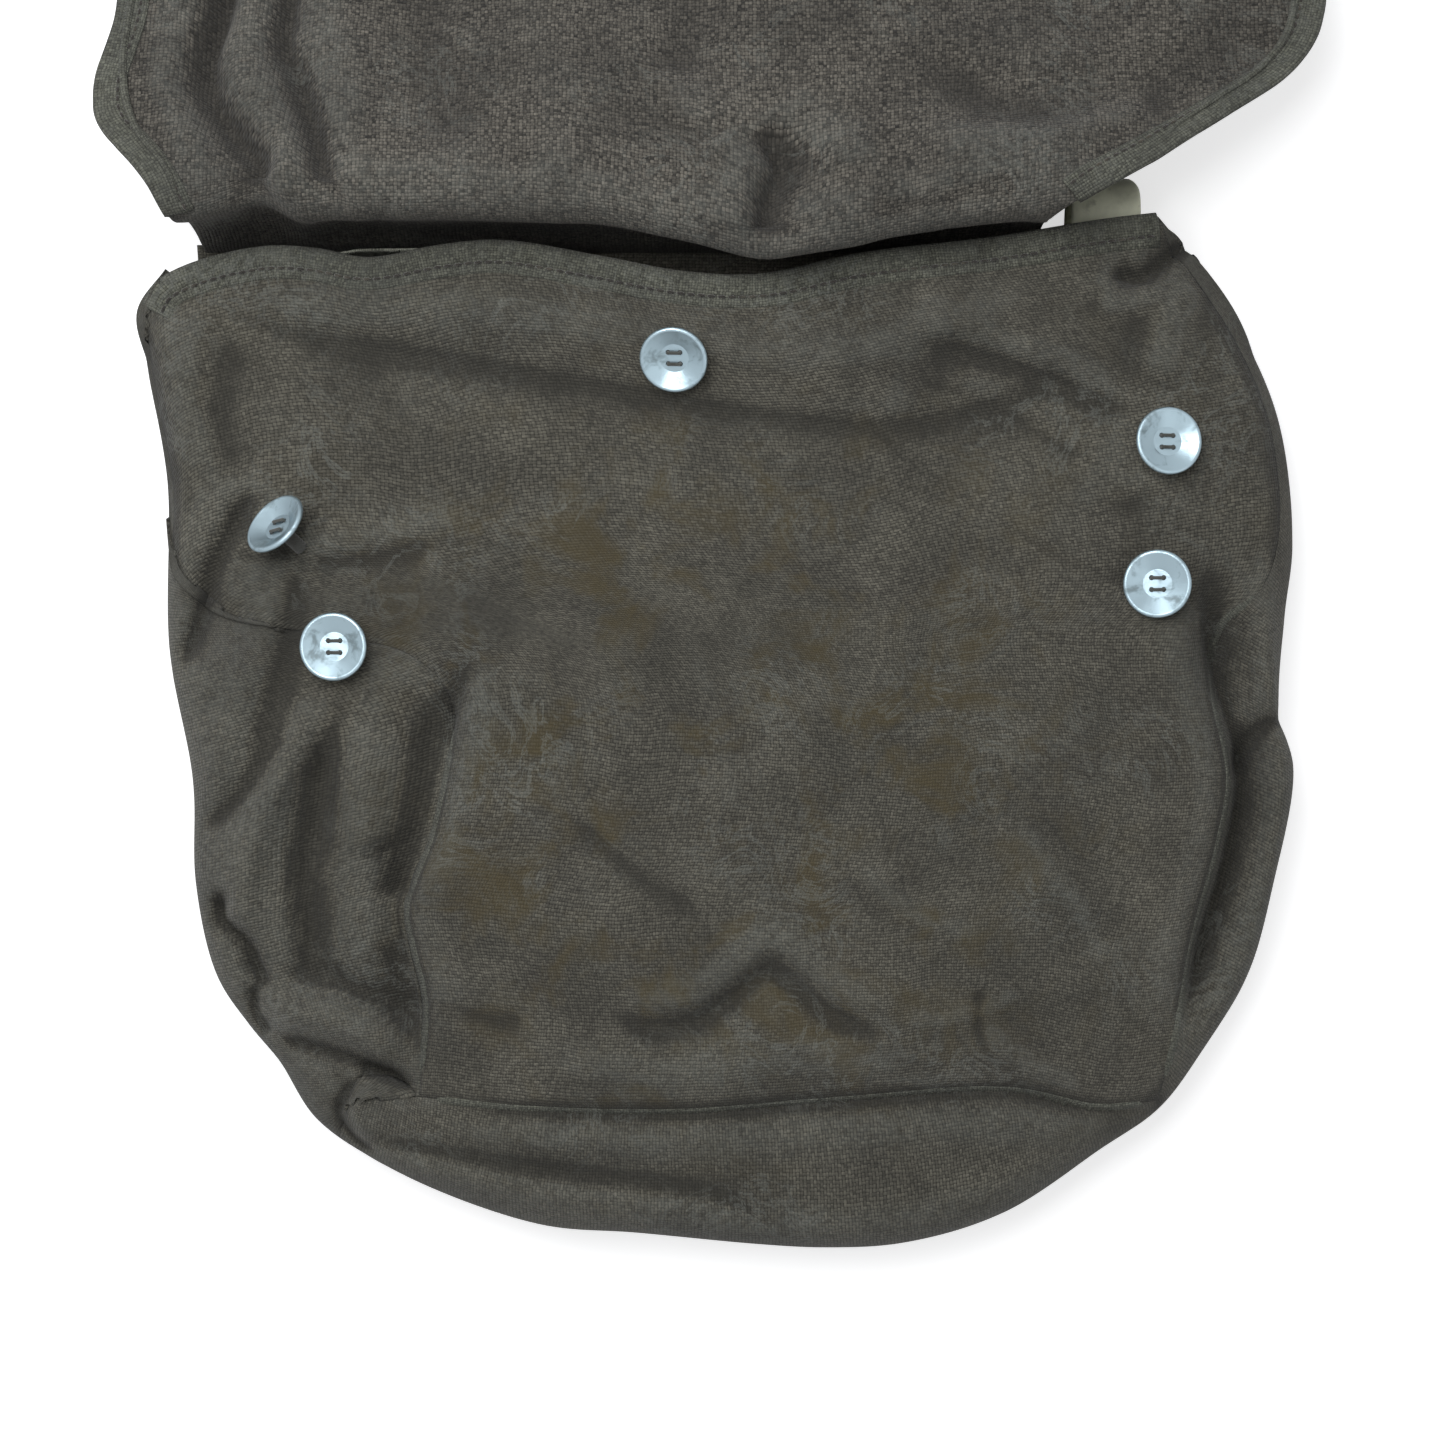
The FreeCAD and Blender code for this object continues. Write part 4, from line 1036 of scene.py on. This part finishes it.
class SACK_OT_liner(PieceOperator):
    """Build the cotton pouch whose lip shows in the mouth, and the patches behind the buttons"""

    bl_idname = "sack.liner"
    bl_label = "Liner"

    def execute(self, context):
        x = np.linspace(-140, 117, 150)
        lip = np.interp(x, *LINER_LIP.T)
        path = spline(LINER_PATH, 170)
        share = np.clip(path[:, 1] / LINER_TOP, 0, 1)[:, None]
        y = path[:, 0][:, None] + lip[None] * share * (path[:, 0] > -20)[:, None]
        z = np.repeat(path[:, 1][:, None], len(x), axis=1)
        wavy = lattice_noise(x[None] + 0 * y, z + 60, 16, 44)
        y = y + 1.5 * wavy * (path[:, 1] > 8)[:, None]
        points = np.stack([np.broadcast_to(x[None], y.shape), y, z], axis=-1)
        mesh = grid_mesh([(points, None)])
        cloth = piece("liner_cloth", mesh, "bag", FINISHES["liner"], "liner_cotton", "inner_liner")
        thicken(cloth, LINER_THICKNESS)
        for node in ("button_stay_center", "button_stay_left", "button_stay_right"):
            low, high = (np.array(corner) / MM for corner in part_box(node))
            side_x = np.linspace(low[0], high[0], 24)
            side_y = np.linspace(low[1], high[1], 24) - HEM_Y / MM
            plan = np.stack(np.meshgrid(side_x, side_y), axis=-1)
            mesh = grid_mesh([(skin_points(plan, -2.1), None)])
            tidy(mesh, BAG_MIDDLE)
            title = node.replace("button_stay", "stay_cloth")
            stay = piece(title, mesh, "bag", FINISHES["gusset"], "canvas", node)
            thicken(stay, STAY_THICKNESS)
        return {"FINISHED"}


class SACK_OT_strap(PieceOperator):
    """Build the leather strap that loops out of the mouth's right corner"""

    bl_idname = "sack.strap"
    bl_label = "Strap"

    def execute(self, context):
        low, high = (np.array(corner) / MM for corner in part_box("strap"))
        middle = (low[0] + high[0]) / 2
        path = spline(STRAP_PATH, 220)
        heading = np.gradient(path, axis=0)
        heading /= np.linalg.norm(heading, axis=1)[:, None]
        normal = np.stack([-heading[:, 1], heading[:, 0]], axis=1)
        narrow = 1 - 0.24 * np.exp(-((path[:, 0] - 32) / 3.6) ** 2)
        x = middle + STRAP_PROFILE[None, :, 0] * narrow[:, None]
        y = path[:, :1] + normal[:, :1] * STRAP_PROFILE[None, :, 1]
        z = path[:, 1:] + normal[:, 1:] * STRAP_PROFILE[None, :, 1]
        mesh = grid_mesh([(np.stack([x, y, z], axis=-1), None)], closed=True)
        tidy(mesh, cap=True)
        strap = piece("strap_loop", mesh, "bag", FINISHES["leather"], "strap_leather", "strap")
        soften(strap)
        rows = [np.stack([middle + side * 8.9 * narrow[60:175], path[60:175, 0] + normal[60:175, 0] * 1.35,
                          path[60:175, 1] + normal[60:175, 1] * 1.35], axis=1) for side in (-1, 1)]
        mesh = stitch_mesh(rows, 3.4, 2.4, 0.6)
        piece("strap_stitches", mesh, "bag", FINISHES["thread"], "thread")
        return {"FINISHED"}


def flap_grid(rows, columns):
    """Chart points (x, length walked) that fill the flap from the mouth seam to the free edge. Rows
    crowd near the free edge."""
    start = CREASE_ALONG + FLAP_REACH - FREE_CORNER
    turn = np.linspace(0, np.pi / 2, rows // 4)
    straight = np.linspace(0.0, start, rows - len(turn), endpoint=False)
    along = np.concatenate([straight, start + FREE_CORNER * np.sin(turn)])
    past = along - CREASE_ALONG
    low, high = flap_edge(FLAP_LEFT, past), flap_edge(FLAP_RIGHT, past)
    x = low[:, None] + (high - low)[:, None] * np.linspace(0, 1, columns)
    return x, np.repeat(along[:, None], columns, axis=1)


def bend(obj):
    """Bakes the object's transform into its mesh."""
    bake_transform(obj)


def edge_route(inset):
    """The chart route round the flap's edge, from the left of the crease over the free edge to the right."""
    start = FLAP_REACH - FREE_CORNER
    past = np.concatenate([np.linspace(EDGE_START, start, 300, endpoint=False),
                           start + FREE_CORNER * np.sin(np.linspace(0, np.pi / 2, 90))])
    left = np.stack([flap_edge(FLAP_LEFT, past), past + CREASE_ALONG], axis=1)
    right = np.stack([flap_edge(FLAP_RIGHT, past), past + CREASE_ALONG], axis=1)[::-1]
    even = spline(np.concatenate([left[::6], [[0, FLAP_REACH + CREASE_ALONG]], right[::6]]), 700)
    return even - across(even) * inset


class SACK_OT_flap(PieceOperator):
    """Build the flap's cloth, from the mouth seam over the crease to the free edge"""

    bl_idname = "sack.flap"
    bl_label = "Flap"

    def execute(self, context):
        x, along = flap_grid(172, 235)
        points, _ = flap_surface(x, along)
        mesh = grid_mesh([(points, np.stack([x, along], axis=-1) * MM)])
        tidy(mesh, UNDER_FLAP)
        cloth = piece("flap_cloth", mesh, None, FINISHES["flap"], "canvas", "flap_panel", "flap_root")
        thicken(cloth, sizes().cloth)
        bend(cloth)
        return {"FINISHED"}


class SACK_OT_edging(PieceOperator):
    """Build the flap's binding, piping, stitches and buttonhole patches"""

    bl_idname = "sack.edging"
    bl_label = "Flap edging"

    def execute(self, context):
        s = sizes()
        width = s.binding / MM
        route = edge_route(0.0)
        side = -across(route)
        profile = np.array([
            (width + 0.6, 0.2), (width, 0.9), (width * 0.7, 1.0), (1, 1.1), (-0.9, 0.7), (-1.4, -0.5),
            (-0.9, -1.7), (1, -2.1), (width * 0.7, -2.0), (width + 0.6, -1.5),
        ])
        chart = route[:, None] + side[:, None] * profile[None, :, :1]
        points, normal = flap_surface(chart[..., 0], chart[..., 1])
        points += normal * profile[None, :, 1:]
        points[..., 2] = np.maximum(points[..., 2], 0.1)
        mesh = grid_mesh([(points, None)], closed=True)
        tidy(mesh, cap=True)
        nodes = ("flap_band_left", "flap_band_right", "flap_band_end")
        band = piece("flap_binding", mesh, None, FINISHES["edging"], "canvas_edge", *nodes)
        bend(band)
        pipes = []
        for table in (PIPING_LEFT, PIPING_RIGHT):
            past = np.linspace(table[0][0], table[-1][0], 300)
            line, up = flap_surface(level_curve(table, past), past + CREASE_ALONG)
            ends = np.sin(np.linspace(0, np.pi, 300)) ** 0.25
            pipes.append((tube(line + up * 0.9, s.piping / MM * np.maximum(ends, 0.05), 10), None))
        mesh = grid_mesh(pipes, closed=True)
        tidy(mesh, cap=True)
        piping = piece("flap_piping", mesh, None, FINISHES["edging"], "canvas_edge", "flap_welt")
        bend(piping)
        row = edge_route(width - 2.0)
        line, up = flap_surface(row[:, 0], row[:, 1])
        mesh = stitch_mesh([line + up * 1.0], s.stitch_pitch / MM, s.stitch_length / MM, s.stitch_width / MM)
        stitches = piece("flap_stitches", mesh, None, FINISHES["thread"], "thread")
        bend(stitches)
        patches = (("buttonhole_patch_left", -BUTTONHOLE_X), ("buttonhole_patch_right", BUTTONHOLE_X))
        for name, centre in patches:
            u, v = np.meshgrid(np.linspace(-23, 23, 64), np.linspace(-12, 12, 40))
            x, along = centre + u, CREASE_ALONG + BUTTONHOLE_PAST + v
            points, normal = flap_surface(x, along)
            slot = np.exp(-(np.abs(v / 1.9) ** 3)) * np.exp(-(np.abs(u / 13.5) ** 16))
            lip = np.exp(-((np.abs(v) - 2.6) / 1.1) ** 2) * np.exp(-(np.abs(u / 15) ** 12))
            points += normal * (1.0 + 0.8 * lip - 2.6 * slot)[..., None]
            mesh = grid_mesh([(points, None)])
            tidy(mesh, UNDER_FLAP)
            hole = piece(name.replace("patch", "facing"), mesh, "flap", FINISHES["edging"], "canvas", name)
            thicken(hole, FACING_THICKNESS)
        return {"FINISHED"}


class SACK_OT_buttons(PieceOperator):
    """Give the buttons, their twine and the rivets their finishes"""

    bl_idname = "sack.buttons"
    bl_label = "Buttons"

    def execute(self, context):
        for name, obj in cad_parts.items():
            finish = None
            if name.startswith("button_thread"):
                finish = FINISHES["twine"]
            elif name.startswith("button_") and "stay" not in name:
                finish = FINISHES["metal"]
            elif name == "strap_rivets":
                finish = FINISHES["rivet"]
            if finish:
                obj.data.materials.clear()
                obj.data.materials.append(finish)
        return {"FINISHED"}


class SACK_OT_stage(PieceOperator):
    """Set up the floor, the lamps, the world and the camera"""

    bl_idname = "sack.stage"
    bl_label = "Stage"

    def execute(self, context):
        scene = context.scene
        mesh = bpy.data.meshes.new("floor")
        verts = np.array([(-1, -1, 0), (1, -1, 0), (1, 1, 0), (-1, 1, 0)]) * 12.0
        mesh.from_pydata(verts.tolist(), [], [(0, 1, 2, 3)])
        floor = bpy.data.objects.new("floor", mesh)
        scene.collection.objects.link(floor)
        material, t, shader = new_material("floor_card")
        grain = t.noise(t.add("ShaderNodeTexCoord").outputs["Object"], 3.0)
        base = np.array(colours().floor)
        t.feed(shader.inputs["Base Color"], t.mix(grain, base * 0.98, base))
        shader.inputs["Roughness"].default_value = 0.9
        shader.inputs["Specular IOR Level"].default_value = 0.1
        seen = t.add("ShaderNodeLightPath").outputs["Is Camera Ray"]
        shader.inputs["Emission Color"].default_value = (1, 1, 1, 1)
        t.feed(shader.inputs["Emission Strength"], t.math("MULTIPLY", seen, 0.62))
        mesh.materials.append(material)

        world = bpy.data.worlds.new("studio")
        scene.world = world
        world.use_nodes = True
        w = Tree(world.node_tree)
        path = w.add("ShaderNodeLightPath")
        direct = w.math("MAXIMUM", path.outputs["Is Camera Ray"], path.outputs["Is Glossy Ray"])
        direct = w.math("MAXIMUM", direct, path.outputs["Is Transmission Ray"])
        strength = w.math("MULTIPLY_ADD", direct, 0.74, 0.26)
        background = world.node_tree.nodes["Background"]
        background.inputs["Color"].default_value = (1, 1, 1, 1)
        w.feed(background.inputs["Strength"], strength)

        lamps = (("key", (-0.32, 0.34, 1.15), 0.8, 12.5), ("fill", (0.7, -0.5, 1.1), 1.0, 1.5))
        for name, place, size, energy in lamps:
            lamp = bpy.data.lights.new(name, "AREA")
            lamp.size = size
            lamp.energy = energy
            holder = bpy.data.objects.new(name, lamp)
            holder.location = place
            direction = -np.array(place)
            holder.rotation_euler = (math.atan2(math.hypot(direction[0], direction[1]), -direction[2]), 0,
                                     math.atan2(direction[1], direction[0]) - math.pi / 2)
            scene.collection.objects.link(holder)

        lens = bpy.data.cameras.new("camera")
        lens.sensor_width = 36.0
        lens.angle = 2 * math.atan(0.2385 / 1.2)
        camera = bpy.data.objects.new("camera", lens)
        camera.location = (0.0025, HEM_Y - 0.152, 1.25)
        scene.collection.objects.link(camera)
        scene.camera = camera
        scene.view_settings.view_transform = "Standard"
        return {"FINISHED"}


OPERATORS = (
    SACK_OT_finishes, SACK_OT_front, SACK_OT_gussets, SACK_OT_back, SACK_OT_hem, SACK_OT_liner, SACK_OT_strap,
    SACK_OT_flap, SACK_OT_edging, SACK_OT_buttons, SACK_OT_stage,
)


class SACK_PT_pieces(bpy.types.Panel):
    """The sack's sizes, colours and pieces."""

    bl_idname = "SACK_PT_pieces"
    bl_label = "Mail Sack"
    bl_space_type = "VIEW_3D"
    bl_region_type = "UI"
    bl_category = "Mail Sack"

    def draw(self, context):
        column = self.layout.column()
        for group in (context.scene.sack_sizes, context.scene.sack_colours):
            for name in group.__annotations__:
                column.prop(group, name)
        for operator in OPERATORS:
            column.operator(operator.bl_idname)


CLASSES = (SackSizes, SackColours, *OPERATORS, SACK_PT_pieces)


def register():
    for one in CLASSES:
        bpy.utils.register_class(one)
    bpy.types.Scene.sack_sizes = bpy.props.PointerProperty(type=SackSizes)
    bpy.types.Scene.sack_colours = bpy.props.PointerProperty(type=SackColours)


def unregister():
    del bpy.types.Scene.sack_colours
    del bpy.types.Scene.sack_sizes
    for one in reversed(CLASSES):
        bpy.utils.unregister_class(one)


def main():
    register()
    for operator in OPERATORS:
        group, name = operator.bl_idname.split(".")
        getattr(getattr(bpy.ops, group), name)()


if __name__ == "__main__":
    main()
